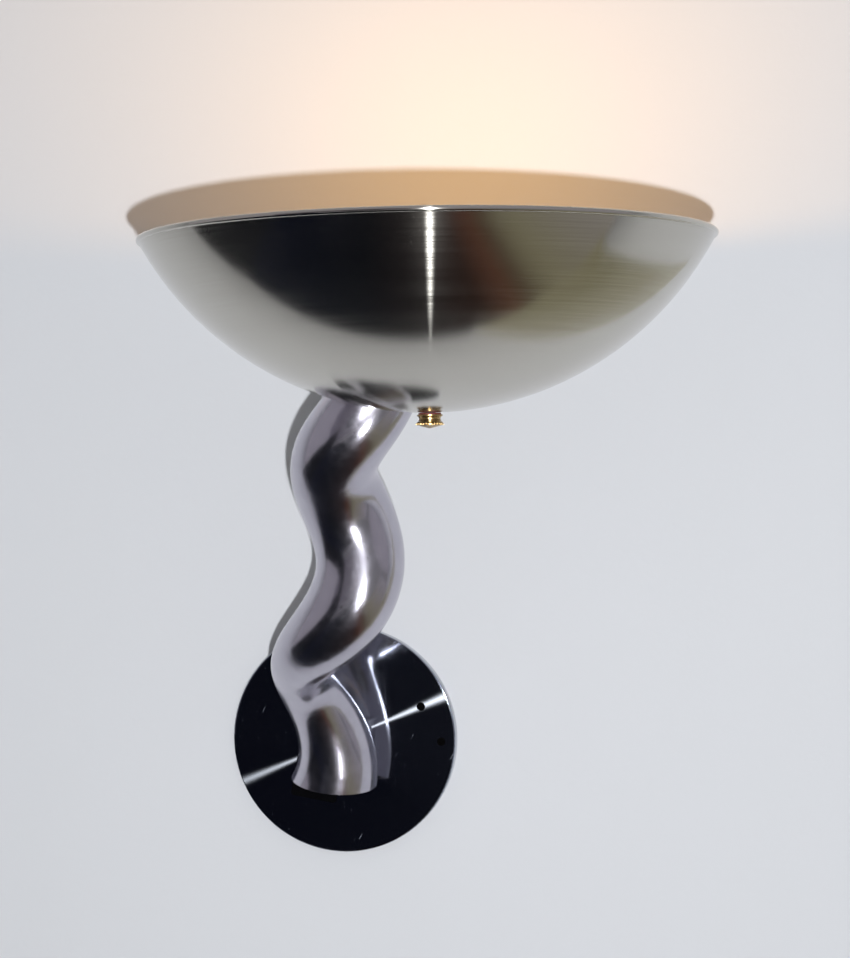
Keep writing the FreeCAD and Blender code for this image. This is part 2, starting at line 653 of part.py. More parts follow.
def make_seat_washer():
    """Washer inside the bowl, its lower face shaped to the bowl."""
    plane = BOWL_INNER_RADIUS - SEAT_WASHER_THICKNESS
    plate = cylinder(SEAT_WASHER_RADIUS, 2 * SEAT_WASHER_THICKNESS, seat_point(plane), SEAT_OUT)
    washer = plate.common(Part.makeSphere(BOWL_INNER_RADIUS, SPHERE_CENTRE))
    return washer.cut(cylinder(NIPPLE_RADIUS + THREAD_FIT, 9, seat_point(plane - 1), SEAT_OUT))


def make_nipple_nut():
    """Hexagon nut that clamps the bowl to the arm."""
    plane = BOWL_INNER_RADIUS - SEAT_WASHER_THICKNESS
    nut = hexagon(NIPPLE_NUT_FLATS, NIPPLE_NUT_HEIGHT, seat_point(plane), SEAT_IN)
    bore = cylinder(NIPPLE_RADIUS + THREAD_FIT, NIPPLE_NUT_HEIGHT + 2, seat_point(plane + 1), SEAT_IN)
    return nut.cut(bore)


def nipple_top_distance():
    """Distance of the nipple's upper end from the bowl's sphere centre."""
    return BOWL_INNER_RADIUS - SEAT_WASHER_THICKNESS - NIPPLE_NUT_HEIGHT - NIPPLE_END


def make_arm_top_nipple():
    """Threaded tube from the arm's head into the bowl; the leads run through it."""
    top = nipple_top_distance()
    bottom = BOWL_SPHERE_RADIUS + GASKET_THICKNESS + NIPPLE_BITE - SEAT_GAP
    tube = cylinder(NIPPLE_RADIUS, bottom - top, seat_point(top), SEAT_OUT)
    return tube.cut(cylinder(NIPPLE_BORE, bottom - top, seat_point(top), SEAT_OUT))


# ---------------------------------------------------------------- stud, spacers, finial

def ring(outer, inner, low, high):
    """Upright ring about the bowl's axis between two heights."""
    sleeve = cylinder(outer, high - low, by_bowl(0, 0, low))
    return sleeve.cut(cylinder(inner, high - low, by_bowl(0, 0, low)))


def stud_bottom_z():
    """Lower end of the stud, just short of the bottom of the finial nut's bore."""
    return NUT_TOP_Z - NUT_BORE_DEPTH + SEAT_GAP


def make_centre_stud():
    """Threaded stud up the bowl's axis."""
    top = REFLECTOR_Z + REFLECTOR_SHEET + STUD_NUT_HEIGHT + STUD_TIP
    return cylinder(STUD_RADIUS, top - stud_bottom_z(), by_bowl(0, 0, stud_bottom_z()))


def make_carrier_spacer():
    """Tube between the bowl's floor and the carrier, its foot shaped to the bowl."""
    tube = ring(SPACER_RADIUS, STUD_RADIUS + THREAD_FIT, BOWL_BOTTOM_Z, CARRIER_Z)
    return tube.common(Part.makeSphere(BOWL_INNER_RADIUS, SPHERE_CENTRE))


def make_reflector_spacer():
    """Tube between the lower stud nut and the reflector."""
    return ring(SPACER_RADIUS, STUD_RADIUS + THREAD_FIT, CARRIER_TOP_Z + STUD_NUT_HEIGHT, REFLECTOR_Z)


def make_stud_nuts():
    """Two identical nuts: one on the carrier, one on the reflector."""
    nuts = []
    for low in (CARRIER_TOP_Z, REFLECTOR_Z + REFLECTOR_SHEET):
        nut = hexagon(STUD_NUT_FLATS, STUD_NUT_HEIGHT, by_bowl(0, 0, low))
        bore = cylinder(STUD_RADIUS + THREAD_FIT, STUD_NUT_HEIGHT + 2, by_bowl(0, 0, low - 1))
        nuts.append(nut.cut(bore))
    return Part.makeCompound(nuts)


def make_finial_washer():
    """Red fibre washer between the bowl's underside and the collar."""
    return ring(WASHER_RADIUS, STUD_RADIUS + RUNNING_FIT, WASHER_TOP_Z - WASHER_THICKNESS, WASHER_TOP_Z)


def make_finial_collar():
    """Thin brass collar under the washer, with its edges broken."""
    bore = STUD_RADIUS + RUNNING_FIT
    top = COLLAR_TOP_Z
    low = COLLAR_TOP_Z - COLLAR_HEIGHT
    return turned([(bore, top), (COLLAR_RADIUS - COLLAR_CHAMFER, top), (COLLAR_RADIUS, top - COLLAR_CHAMFER),
                   (COLLAR_RADIUS, low + COLLAR_CHAMFER), (COLLAR_RADIUS - COLLAR_CHAMFER, low), (bore, low)])


def make_finial_nut():
    """Brass cap nut: drawn-in waist, turned groove, knurled flare and a shallow conical tip."""
    bore = STUD_RADIUS + RUNNING_FIT
    groove = NUT_TOP_Z - NUT_WAIST_HEIGHT
    flare = groove - NUT_GROOVE_HEIGHT
    knurl = flare - NUT_KNURL_HEIGHT
    tip = knurl - NUT_TIP_HEIGHT
    bore_end = NUT_TOP_Z - NUT_BORE_DEPTH
    nut = turned([(bore, NUT_TOP_Z), (NUT_NECK_RADIUS, NUT_TOP_Z),
                  (NUT_WAIST_RADIUS, NUT_TOP_Z - NUT_WAIST_HEIGHT / 3),
                  (NUT_WAIST_RADIUS, NUT_TOP_Z - NUT_WAIST_HEIGHT * 2 / 3), (NUT_NECK_RADIUS, groove),
                  (NUT_GROOVE_RADIUS, groove), (NUT_GROOVE_RADIUS, flare), (NUT_FLARE_RADIUS, flare),
                  (NUT_KNURL_RADIUS, knurl + NUT_KNURL_HEIGHT / 3),
                  (NUT_KNURL_RADIUS, knurl + NUT_KNURL_CHAMFER),
                  (NUT_KNURL_RADIUS - NUT_KNURL_CHAMFER, knurl), (NUT_TIP_RADIUS, tip), (0, tip),
                  (0, bore_end), (bore, bore_end)])
    grooves = []
    for step in range(KNURL_COUNT):
        angle = 2 * math.pi * step / KNURL_COUNT
        place = by_bowl(NUT_KNURL_RADIUS * math.cos(angle), NUT_KNURL_RADIUS * math.sin(angle), knurl - 0.2)
        grooves.append(cylinder(KNURL_DEPTH, NUT_KNURL_HEIGHT, place))
    return nut.cut(grooves)


# ---------------------------------------------------------------- lamp, holders, carrier, reflector

def make_lamp_carrier():
    """Folded steel bridge: flat base with an upright ear at each end."""
    half = CARRIER_WIDTH / 2
    ear_top = LAMP_Z + EAR_ABOVE_AXIS
    outside = box(-CARRIER_HALF_LENGTH, CARRIER_HALF_LENGTH, -half, half, CARRIER_Z, ear_top)
    lower_edges = [edge for edge in outside.Edges
                   if edge.BoundBox.ZMax < CARRIER_Z + 0.1 and edge.BoundBox.XLength < 0.1]
    outside = outside.makeFillet(CARRIER_BEND, lower_edges)
    hollow = box(-HOLDER_OUTER_X, HOLDER_OUTER_X, -half - 1, half + 1, CARRIER_TOP_Z, ear_top + 1)
    hollow_edges = [edge for edge in hollow.Edges
                    if edge.BoundBox.ZMax < CARRIER_TOP_Z + 0.1 and edge.BoundBox.XLength < 0.1]
    hollow = hollow.makeFillet(CARRIER_BEND - CARRIER_SHEET, hollow_edges)
    carrier = outside.cut(hollow)
    carrier.translate(BOWL_AXIS_POINT)
    carrier = carrier.cut(cylinder(STUD_RADIUS + THREAD_FIT, 3 * CARRIER_SHEET,
                                   by_bowl(0, 0, CARRIER_Z - CARRIER_SHEET)))
    carrier = carrier.cut(cylinder(EARTH_SCREW_RADIUS + THREAD_FIT, 3 * CARRIER_SHEET,
                                   by_bowl(EARTH_PLACE_X, 0, CARRIER_Z - CARRIER_SHEET)))
    screw_line = cylinder(HOLDER_SCREW_RADIUS + THREAD_FIT, 2 * CARRIER_HALF_LENGTH + 2,
                          by_bowl(-CARRIER_HALF_LENGTH - 1, 0, LAMP_Z - HOLDER_SCREW_BELOW_AXIS), RIGHT)
    return carrier.cut(screw_line)


def make_holder(side):
    """Ceramic lampholder: a socket open upwards for the lamp's cap, and a bore for the contact."""
    def at(distance, y, z):
        return by_bowl(side * distance, y, LAMP_Z + z)

    outward = RIGHT * side
    low = at(HOLDER_INNER_X, -HOLDER_WIDTH / 2, -HOLDER_BELOW)
    high = at(HOLDER_OUTER_X, HOLDER_WIDTH / 2, HOLDER_ABOVE)
    holder = box(low.x, high.x, low.y, high.y, low.z, high.z)
    socket = LAMP_CAP_RADIUS + HOLDER_SOCKET_CLEARANCE
    holder = holder.cut(cylinder(socket, HOLDER_GRIP + 1, at(HOLDER_INNER_X - 1, 0, 0), outward))
    slot_low = at(HOLDER_INNER_X - 1, -socket, 0)
    slot_high = at(LAMP_LENGTH / 2, socket, HOLDER_ABOVE + 1)
    holder = holder.cut(box(slot_low.x, slot_high.x, slot_low.y, slot_high.y, slot_low.z, slot_high.z))
    bore_length = HOLDER_OUTER_X - HOLDER_BACK_WALL - LAMP_LENGTH / 2
    plunger_bore = cylinder(PLUNGER_RADIUS + RUNNING_FIT, bore_length, at(LAMP_LENGTH / 2, 0, 0), outward)
    holder = holder.cut(plunger_bore)
    screw = at(HOLDER_OUTER_X, 0, -HOLDER_SCREW_BELOW_AXIS)
    screw_hole = cylinder(HOLDER_SCREW_RADIUS + THREAD_FIT, HOLDER_SCREW_BITE + 0.5, screw, outward * -1)
    holder = holder.cut(screw_hole)
    entry = by_bowl(side * HOLDER_MIDDLE_X, HOLDER_WIDTH / 2, LAMP_Z - LEAD_ENTRY_BELOW_AXIS)
    return holder.cut(cylinder(LEAD_RADIUS + THREAD_FIT, HOLDER_WIDTH / 4, entry, TO_ROOM))


def make_plunger(side):
    """Sprung contact that bears on the lamp's end."""
    start = by_bowl(side * LAMP_LENGTH / 2, 0, LAMP_Z)
    outward = RIGHT * side
    nose = cylinder(PLUNGER_NOSE_RADIUS, PLUNGER_NOSE_LENGTH, start, outward)
    body = cylinder(PLUNGER_RADIUS, PLUNGER_LENGTH - PLUNGER_NOSE_LENGTH,
                    start + outward * PLUNGER_NOSE_LENGTH, outward)
    return nose.fuse(body)


def spring_ends():
    """Distances from the lamp's middle between which the contact spring sits."""
    return LAMP_LENGTH / 2 + PLUNGER_LENGTH, HOLDER_OUTER_X - HOLDER_BACK_WALL


def make_contact_spring(side):
    """Space taken by the contact's coil spring, as a sleeve."""
    first, last = spring_ends()
    start = by_bowl(side * first, 0, LAMP_Z)
    sleeve = cylinder(SPRING_OUTER_RADIUS, last - first, start, RIGHT * side)
    return sleeve.cut(cylinder(SPRING_INNER_RADIUS, last - first, start, RIGHT * side))


def make_holder_screws():
    """One screw through each ear into its holder."""
    screws = []
    for side in (-1, 1):
        inward = RIGHT * -side
        seat = by_bowl(side * CARRIER_HALF_LENGTH, 0, LAMP_Z - HOLDER_SCREW_BELOW_AXIS)
        start = seat - inward * HOLDER_SCREW_HEAD_HEIGHT
        head = cylinder(HOLDER_SCREW_HEAD_RADIUS, HOLDER_SCREW_HEAD_HEIGHT, start, inward)
        length = HOLDER_SCREW_HEAD_HEIGHT + CARRIER_SHEET + HOLDER_SCREW_BITE
        screws.append(head.fuse(cylinder(HOLDER_SCREW_RADIUS, length, start, inward)).removeSplitter())
    return Part.makeCompound(screws)


def make_lamp_tube():
    """Quartz tube, closed at both ends."""
    outer = cylinder(LAMP_TUBE_RADIUS, LAMP_TUBE_LENGTH, by_bowl(-LAMP_TUBE_LENGTH / 2, 0, LAMP_Z), RIGHT)
    outer = outer.makeFillet(LAMP_TUBE_RADIUS * 0.25, outer.Edges[:1] + outer.Edges[2:])
    hollow_length = LAMP_TUBE_LENGTH - 6 * LAMP_GLASS
    hollow = cylinder(LAMP_TUBE_RADIUS - LAMP_GLASS, hollow_length,
                      by_bowl(-hollow_length / 2, 0, LAMP_Z), RIGHT)
    return outer.cut(hollow)


def make_lamp_caps():
    """Ceramic caps with their contact tips, one at each end of the tube."""
    caps = []
    for side in (-1, 1):
        outward = RIGHT * side
        start = by_bowl(side * LAMP_TUBE_LENGTH / 2, 0, LAMP_Z)
        length = (LAMP_LENGTH - LAMP_TUBE_LENGTH) / 2
        body = cylinder(LAMP_CAP_RADIUS, length - LAMP_CAP_TIP_LENGTH, start, outward)
        caps.append(body.fuse(cylinder(LAMP_CAP_TIP_RADIUS, length, start, outward)).removeSplitter())
    return Part.makeCompound(caps)


def make_lamp_filament():
    """Straight filament inside the tube, with its supports left plain."""
    hollow_length = LAMP_TUBE_LENGTH - 6 * LAMP_GLASS
    coil = cylinder(FILAMENT_RADIUS, FILAMENT_LENGTH, by_bowl(-FILAMENT_LENGTH / 2, 0, LAMP_Z), RIGHT)
    wire = cylinder(FILAMENT_RADIUS / 2, hollow_length, by_bowl(-hollow_length / 2, 0, LAMP_Z), RIGHT)
    return coil.fuse(wire).removeSplitter()


def make_reflector():
    """Folded tray under the lamp: a flat floor and two sloping wings."""
    half_floor = REFLECTOR_FLOOR / 2
    outer_y = half_floor + REFLECTOR_WING
    sheet = REFLECTOR_SHEET
    slant = sheet * math.sqrt(2)
    bend = sheet * math.tan(math.radians(22.5))
    profile = [(-outer_y, REFLECTOR_WING), (-half_floor, 0), (half_floor, 0), (outer_y, REFLECTOR_WING),
               (outer_y - slant, REFLECTOR_WING), (half_floor - bend, sheet), (bend - half_floor, sheet),
               (slant - outer_y, REFLECTOR_WING)]
    points = [by_bowl(-REFLECTOR_LENGTH / 2, y, REFLECTOR_Z + z) for y, z in profile]
    tray = Part.Face(Part.makePolygon(points + points[:1])).extrude(RIGHT * REFLECTOR_LENGTH)
    return tray.cut(cylinder(STUD_RADIUS + THREAD_FIT, 4, by_bowl(0, 0, REFLECTOR_Z - 1)))


def make_earth_ring():
    """Crimped ring tag under the earth screw."""
    centre = by_bowl(EARTH_PLACE_X, 0, CARRIER_TOP_Z)
    tag = cylinder(EARTH_RING_RADIUS, EARTH_RING_THICKNESS, centre)
    barrel_start = centre + TO_WALL * (EARTH_RING_RADIUS - 0.5) + UP * EARTH_BARREL_RADIUS
    barrel = cylinder(EARTH_BARREL_RADIUS, EARTH_BARREL_LENGTH, barrel_start, TO_WALL)
    tag = tag.fuse(barrel).cut(cylinder(EARTH_SCREW_RADIUS + THREAD_FIT, 4, centre - UP))
    socket_start = barrel_start + TO_WALL * (EARTH_BARREL_LENGTH - EARTH_BARREL_LENGTH / 2)
    return tag.cut(cylinder(LEAD_RADIUS + THREAD_FIT, EARTH_BARREL_LENGTH, socket_start, TO_WALL))


def make_earth_screw():
    """Screw that bonds the earth ring to the carrier."""
    centre = by_bowl(EARTH_PLACE_X, 0, CARRIER_TOP_Z + EARTH_RING_THICKNESS)
    head = cylinder(EARTH_HEAD_RADIUS, EARTH_HEAD_HEIGHT, centre)
    shank = cylinder(EARTH_SCREW_RADIUS, EARTH_RING_THICKNESS + CARRIER_SHEET + EARTH_HEAD_HEIGHT,
                     centre - UP * (EARTH_RING_THICKNESS + CARRIER_SHEET))
    slot = box(-EARTH_HEAD_RADIUS, EARTH_HEAD_RADIUS, -0.4, 0.4, 0, 1)
    slot.translate(centre + UP * (EARTH_HEAD_HEIGHT - 0.8))
    return head.fuse(shank).removeSplitter().cut(slot)


# ---------------------------------------------------------------- inner leads

def rounded_path(points):
    """Straight runs joined by tangent arcs, each as large as its two runs allow."""
    edges = []
    radii = []
    start = points[0]
    for index in range(1, len(points) - 1):
        corner = points[index]
        back = points[index - 1] - corner
        ahead = points[index + 1] - corner
        run = min(back.Length, ahead.Length)
        back.normalize()
        ahead.normalize()
        turn = math.pi - math.acos(max(-1.0, min(1.0, back.dot(ahead))))
        cut_back = 0.45 * run
        radius = cut_back / math.tan(turn / 2)
        radii.append(radius)
        first = corner + back * cut_back
        last = corner + ahead * cut_back
        towards = back + ahead
        towards.normalize()
        middle_reach = radius / math.cos(turn / 2) - radius
        middle = corner + towards * middle_reach
        edges.append(Part.LineSegment(start, first).toShape())
        edges.append(Part.Arc(first, middle, last).toShape())
        start = last
    edges.append(Part.LineSegment(start, points[-1]).toShape())
    return Part.Wire(edges), radii


def lead_solid(points, label):
    """Round lead along a rounded path."""
    path, radii = rounded_path(points)
    along = points[1] - points[0]
    section = Part.Wire([Part.Circle(points[0], along, LEAD_RADIUS).toShape()])
    lead = path.makePipeShell([section], True, False)
    expected = math.pi * LEAD_RADIUS ** 2 * path.Length
    print(label, "smallest bend %.1f mm, volume ratio %.4f" % (min(radii), lead.Volume / expected))
    return lead


def arm_route(angle):
    """Lead points from a terminal way up the arm's hollow and out of the nipple."""
    spread = Vector(math.cos(angle), math.sin(angle), 0) * LEAD_SPREAD_ARM
    shares = (0.14, 0.23, 0.33, 0.43, 0.53, 0.63, 0.73, 0.82)
    points = [arm_centre(share) + spread for share in shares]
    across = SEAT_OUT.cross(TO_WALL)
    across.normalize()
    other = SEAT_OUT.cross(across)
    slip = across * (math.cos(angle) * LEAD_SPREAD_NIPPLE) + other * (-math.sin(angle) * LEAD_SPREAD_NIPPLE)
    below = BOWL_SPHERE_RADIUS + GASKET_THICKNESS + NIPPLE_BITE + 5
    above = nipple_top_distance() - 3
    return points + [seat_point(below) + slip, seat_point(above) + slip]


def make_lead(way, angle, last_points, label):
    """One inner lead, from its terminal way to the points given in the bowl."""
    start = Vector(block_way_x(way), block_way_y(), BLOCK_CENTRE_Z)
    rise = start + UP * (BLOCK_HEIGHT / 2 + LEAD_STRAIGHT)
    return lead_solid([start, rise] + arm_route(angle) + last_points, label)


def holder_entry(side, out):
    """Point in line with a holder's lead entry, a distance out from its side face."""
    return by_bowl(side * HOLDER_MIDDLE_X, HOLDER_WIDTH / 2 + out, LAMP_Z - LEAD_ENTRY_BELOW_AXIS)


def make_lead_live():
    """Lead to the left holder."""
    entry_z = LAMP_Z - LEAD_ENTRY_BELOW_AXIS
    points = [by_bowl(-41, 37, entry_z - 10), by_bowl(-54, 33, entry_z - 2),
              holder_entry(-1, 14), holder_entry(-1, -2)]
    return make_lead(0, math.radians(150), points, "lead_live")


def make_lead_neutral():
    """Lead to the right holder."""
    entry_z = LAMP_Z - LEAD_ENTRY_BELOW_AXIS
    points = [by_bowl(-21, 38, entry_z - 8), by_bowl(3, 36, entry_z - 4), by_bowl(28, 35, entry_z - 2),
              by_bowl(49, 32, entry_z - 1), holder_entry(1, 14), holder_entry(1, -2)]
    return make_lead(2, math.radians(30), points, "lead_neutral")


def make_lead_earth():
    """Lead to the earth ring on the carrier."""
    ring_z = CARRIER_TOP_Z + EARTH_BARREL_RADIUS
    barrel_end = EARTH_RING_RADIUS - 0.5 + EARTH_BARREL_LENGTH
    points = [by_bowl(-29, 26, ring_z + 4), by_bowl(EARTH_PLACE_X, barrel_end + 9, ring_z),
              by_bowl(EARTH_PLACE_X, barrel_end - 2, ring_z)]
    return make_lead(1, math.radians(270), points, "lead_earth")


def make_parts():
    """Every node by name."""
    return {
        "wall_bracket": make_wall_bracket(),
        "wall_disc": make_wall_disc(),
        "disc_lock_screws": make_disc_lock_screws(),
        "cable_bush": make_cable_bush(),
        "arm": make_arm(),
        "arm_end_plug": make_arm_end_plug(),
        "foot_screws": make_foot_screws(),
        "foot_washers": make_foot_washers(),
        "terminal_block": make_terminal_block(),
        "terminal_screws": make_terminal_screws(),
        "bowl_gasket": make_bowl_gasket(),
        "arm_top_nipple": make_arm_top_nipple(),
        "seat_washer": make_seat_washer(),
        "nipple_nut": make_nipple_nut(),
        "bowl": make_bowl(),
        "centre_stud": make_centre_stud(),
        "carrier_spacer": make_carrier_spacer(),
        "reflector_spacer": make_reflector_spacer(),
        "stud_nuts": make_stud_nuts(),
        "finial_collar": make_finial_collar(),
        "finial_washer": make_finial_washer(),
        "finial_nut": make_finial_nut(),
        "lamp_carrier": make_lamp_carrier(),
        "holder_left": make_holder(-1),
        "holder_right": make_holder(1),
        "holder_screws": make_holder_screws(),
        "contact_left": make_plunger(-1),
        "contact_right": make_plunger(1),
        "contact_spring_left": make_contact_spring(-1),
        "contact_spring_right": make_contact_spring(1),
        "lamp_tube": make_lamp_tube(),
        "lamp_caps": make_lamp_caps(),
        "lamp_filament": make_lamp_filament(),
        "reflector": make_reflector(),
        "earth_ring": make_earth_ring(),
        "earth_screw": make_earth_screw(),
        "lead_live": make_lead_live(),
        "lead_neutral": make_lead_neutral(),
        "lead_earth": make_lead_earth(),
    }


def main():
    """Write one STEP file for each node."""
    os.makedirs("parts", exist_ok=True)
    for name, shape in make_parts().items():
        solids = len(shape.Solids)
        print("%-22s solids %d valid %s volume %.0f" % (name, solids, shape.isValid(), shape.Volume))
        shape.exportStep("parts/" + name + ".step")


main()
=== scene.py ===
import math

import bpy
from mathutils import Matrix, Vector


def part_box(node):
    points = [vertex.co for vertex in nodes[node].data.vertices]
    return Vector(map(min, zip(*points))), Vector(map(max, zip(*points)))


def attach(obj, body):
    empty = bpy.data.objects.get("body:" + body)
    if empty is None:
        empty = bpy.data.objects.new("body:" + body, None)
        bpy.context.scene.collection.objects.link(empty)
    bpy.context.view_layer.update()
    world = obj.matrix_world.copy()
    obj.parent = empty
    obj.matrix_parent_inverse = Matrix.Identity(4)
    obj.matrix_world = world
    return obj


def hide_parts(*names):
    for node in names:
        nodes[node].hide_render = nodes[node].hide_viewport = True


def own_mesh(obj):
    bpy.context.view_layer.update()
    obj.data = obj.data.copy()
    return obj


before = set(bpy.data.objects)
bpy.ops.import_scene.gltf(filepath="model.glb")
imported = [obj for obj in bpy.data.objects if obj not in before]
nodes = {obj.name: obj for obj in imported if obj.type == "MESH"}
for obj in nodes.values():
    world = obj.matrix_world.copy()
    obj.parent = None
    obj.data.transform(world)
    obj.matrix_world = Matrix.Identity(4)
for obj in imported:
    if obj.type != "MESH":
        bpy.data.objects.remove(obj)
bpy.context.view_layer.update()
MM = 0.001


# ---- Camera
# The photograph was taken from the front, a little to the right of the disc and level with it,
# with a slight roll. The whole lamp stands in a frame of 850 by 958.
camera_data = bpy.data.cameras.new("camera")
camera_data.sensor_width = 36.0
camera_data.lens = 93.95
camera_data.clip_start = 50 * MM
camera = bpy.data.objects.new("camera", camera_data)
bpy.context.scene.collection.objects.link(camera)
bpy.context.scene.camera = camera
CAMERA_PLACE = Vector((0.2918, -1.4881, 0.1548))
right = Vector((0.98701, 0.15994, -0.015))
up = Vector((0.01493, 0.0016, 0.99989))
ahead = Vector((-0.15995, 0.98712, 0.0008))
camera_turn = Matrix((right, up, -ahead)).transposed()
camera.matrix_world = Matrix.Translation(CAMERA_PLACE) @ camera_turn.to_4x4()


# ---- Wall and floor
# A plain pale wall with a cut-out behind the disc, so that the lamp can be seen from behind too, and a
# plain pale floor well below. Both are finished in matt emulsion paint, put on with a roller.
def linear(code):
    """Linear colour of an sRGB hex value."""
    channels = [int(code[i:i + 2], 16) / 255 for i in (1, 3, 5)]
    return [c / 12.92 if c <= 0.04045 else ((c + 0.055) / 1.055) ** 2.4 for c in channels] + [1.0]


def add(tree, kind, inputs=None, **settings):
    """Adds a node: settings are its own properties, inputs its sockets by name or number."""
    node = tree.nodes.new(kind)
    for name, value in settings.items():
        setattr(node, name, value)
    for key, value in (inputs or {}).items():
        if isinstance(value, bpy.types.NodeSocket):
            tree.links.new(value, node.inputs[key])
        else:
            node.inputs[key].default_value = value
    return node


def blank_material(name):
    """New material, its emptied node tree, and the object coordinates in it."""
    material = bpy.data.materials.new(name)
    material.use_nodes = True
    tree = material.node_tree
    tree.nodes.clear()
    return material, tree, add(tree, "ShaderNodeTexCoord").outputs["Object"]


def new_piece(name, points, faces):
    """Mesh object from points in metres and faces."""
    mesh = bpy.data.meshes.new(name)
    mesh.from_pydata([tuple(p) for p in points], [], faces)
    piece = bpy.data.objects.new(name, mesh)
    bpy.context.scene.collection.objects.link(piece)
    return piece


paint, tree, place = blank_material("matt_wall_paint")
roller = add(tree, "ShaderNodeTexNoise", {"Vector": place, "Scale": 1 / (6 * MM), "Detail": 2.0})
relief = add(tree, "ShaderNodeBump", {"Height": roller.outputs[0], "Strength": 0.35, "Distance": 0.4 * MM})
matt = add(tree, "ShaderNodeBsdfDiffuse",
           {"Color": linear("#e2e3e6"), "Roughness": 0.6, "Normal": relief.outputs[0]})
clear = add(tree, "ShaderNodeBsdfTransparent")
side = add(tree, "ShaderNodeNewGeometry")
one_sided = add(tree, "ShaderNodeMixShader",
                {0: side.outputs["Backfacing"], 1: matt.outputs[0], 2: clear.outputs[0]})
add(tree, "ShaderNodeOutputMaterial", {"Surface": one_sided.outputs[0]})

WALL_SIDES = 64
WALL_RADIUS = 3.4
WALL_HOLE_RADIUS = 64 * MM
WALL_GAP = 0.4 * MM
wall_turns = [2 * math.pi * i / WALL_SIDES for i in range(WALL_SIDES)]
wall_points = [(radius * math.cos(turn), WALL_GAP, radius * math.sin(turn))
               for radius in (WALL_RADIUS, WALL_HOLE_RADIUS) for turn in wall_turns]
wall = new_piece("wall", wall_points,
                 [(i, (i + 1) % WALL_SIDES, WALL_SIDES + (i + 1) % WALL_SIDES, WALL_SIDES + i)
                  for i in range(WALL_SIDES)])
wall.data.materials.append(paint)

floor_paint, tree, _ = blank_material("matt_floor_paint")
matt = add(tree, "ShaderNodeBsdfDiffuse", {"Color": linear("#dcdcda"), "Roughness": 0.6})
add(tree, "ShaderNodeOutputMaterial", {"Surface": matt.outputs[0]})
FLOOR_REACH = 6.0
FLOOR_HEIGHT = -1.7
floor_corners = [(x * FLOOR_REACH, y * FLOOR_REACH, FLOOR_HEIGHT)
                 for x, y in ((-1, -1), (1, -1), (1, 1), (-1, 1))]
floor = new_piece("floor", floor_corners, [(0, 1, 2, 3)])
floor.data.materials.append(floor_paint)


# ---- Studio cards
# What the polished metals mirror: a dark floor that turns brown and then olive to the right, a paler strip
# low along the wall, and a grey room in front. They are plain cards, hidden from all but reflections.
def studio_card(name, corners, stops):
    """Card with colours along X from stops of (x in metres, hex, strength)."""
    material, tree, place = blank_material(name)
    along = add(tree, "ShaderNodeSeparateXYZ", {0: place})
    low, high = stops[0][0], stops[-1][0]
    share = add(tree, "ShaderNodeMapRange", {"Value": along.outputs["X"], "From Min": low, "From Max": high})
    ramp = add(tree, "ShaderNodeValToRGB", {"Fac": share.outputs[0]})
    colours = ramp.color_ramp.elements
    while len(colours) < len(stops):
        colours.new(0.5)
    for element, (x, code, strength) in zip(colours, stops):
        element.position = (x - low) / (high - low)
        element.color = [c * strength for c in linear(code)[:3]] + [1.0]
    glow = add(tree, "ShaderNodeEmission", {"Color": ramp.outputs["Color"]})
    add(tree, "ShaderNodeOutputMaterial", {"Surface": glow.outputs[0]})
    card = new_piece(name, corners, [(0, 1, 2, 3)])
    card.data.materials.append(material)
    card.visible_camera = False
    card.visible_diffuse = False
    card.visible_shadow = False
    card.visible_transmission = False


studio_card("card_below", [(-1.9, -1.9, -1.0), (1.0, -1.9, -1.0), (1.0, 0, -1.0), (-1.9, 0, -1.0)],
            [(-1.9, "#12172a", 0.9), (-0.3, "#0e1119", 0.8), (0.1, "#1a1416", 1.0), (0.42, "#2b1c18", 1.0),
             (0.62, "#5c3a2c", 1.0), (0.74, "#55483a", 1.0), (0.86, "#7a7560", 1.0), (1.0, "#8b8770", 1.0)])
studio_card("card_right", [(1.0, -1.2, -1.0), (2.8, -1.2, -1.0), (2.8, 0, -1.0), (1.0, 0, -1.0)],
            [(1.0, "#8b8770", 1.0), (1.5, "#918d86", 1.0), (2.8, "#a5a2a8", 1.0)])
studio_card("card_low_right",
            [(0.3, -0.03, -1.0), (1.6, -0.03, -1.0), (0.95, -0.03, -0.45), (0.3, -0.03, 0.22)],
            [(0.3, "#bdbcb2", 1.0), (0.4, "#a5a290", 1.0), (0.6, "#8f8b73", 1.0), (1.6, "#8f8b73", 1.0)])
studio_card("card_front", [(-2.4, -2.3, -1.0), (0.35, -2.3, -1.0), (0.35, -2.3, 1.0), (-2.4, -2.3, 1.0)],
            [(-2.4, "#7a7680", 1.0), (-1.6, "#6e6a72", 1.0), (0.35, "#6c676b", 1.0)])
studio_card("card_dark", [(-0.72, -2.2, -0.5), (-0.18, -2.2, -0.5), (-0.18, -2.2, 0.04), (-0.72, -2.2, 0.04)],
            [(-1.0, "#0b0e1a", 1.0), (0.1, "#0b0e1a", 1.0)])
studio_card("card_left", [(-1.3, 0, -1.0), (-1.3, -2.3, -1.0), (-1.3, -2.3, -0.3), (-1.3, 0, -0.3)],
            [(-1.4, "#121419", 1.0), (-1.2, "#121419", 1.0)])


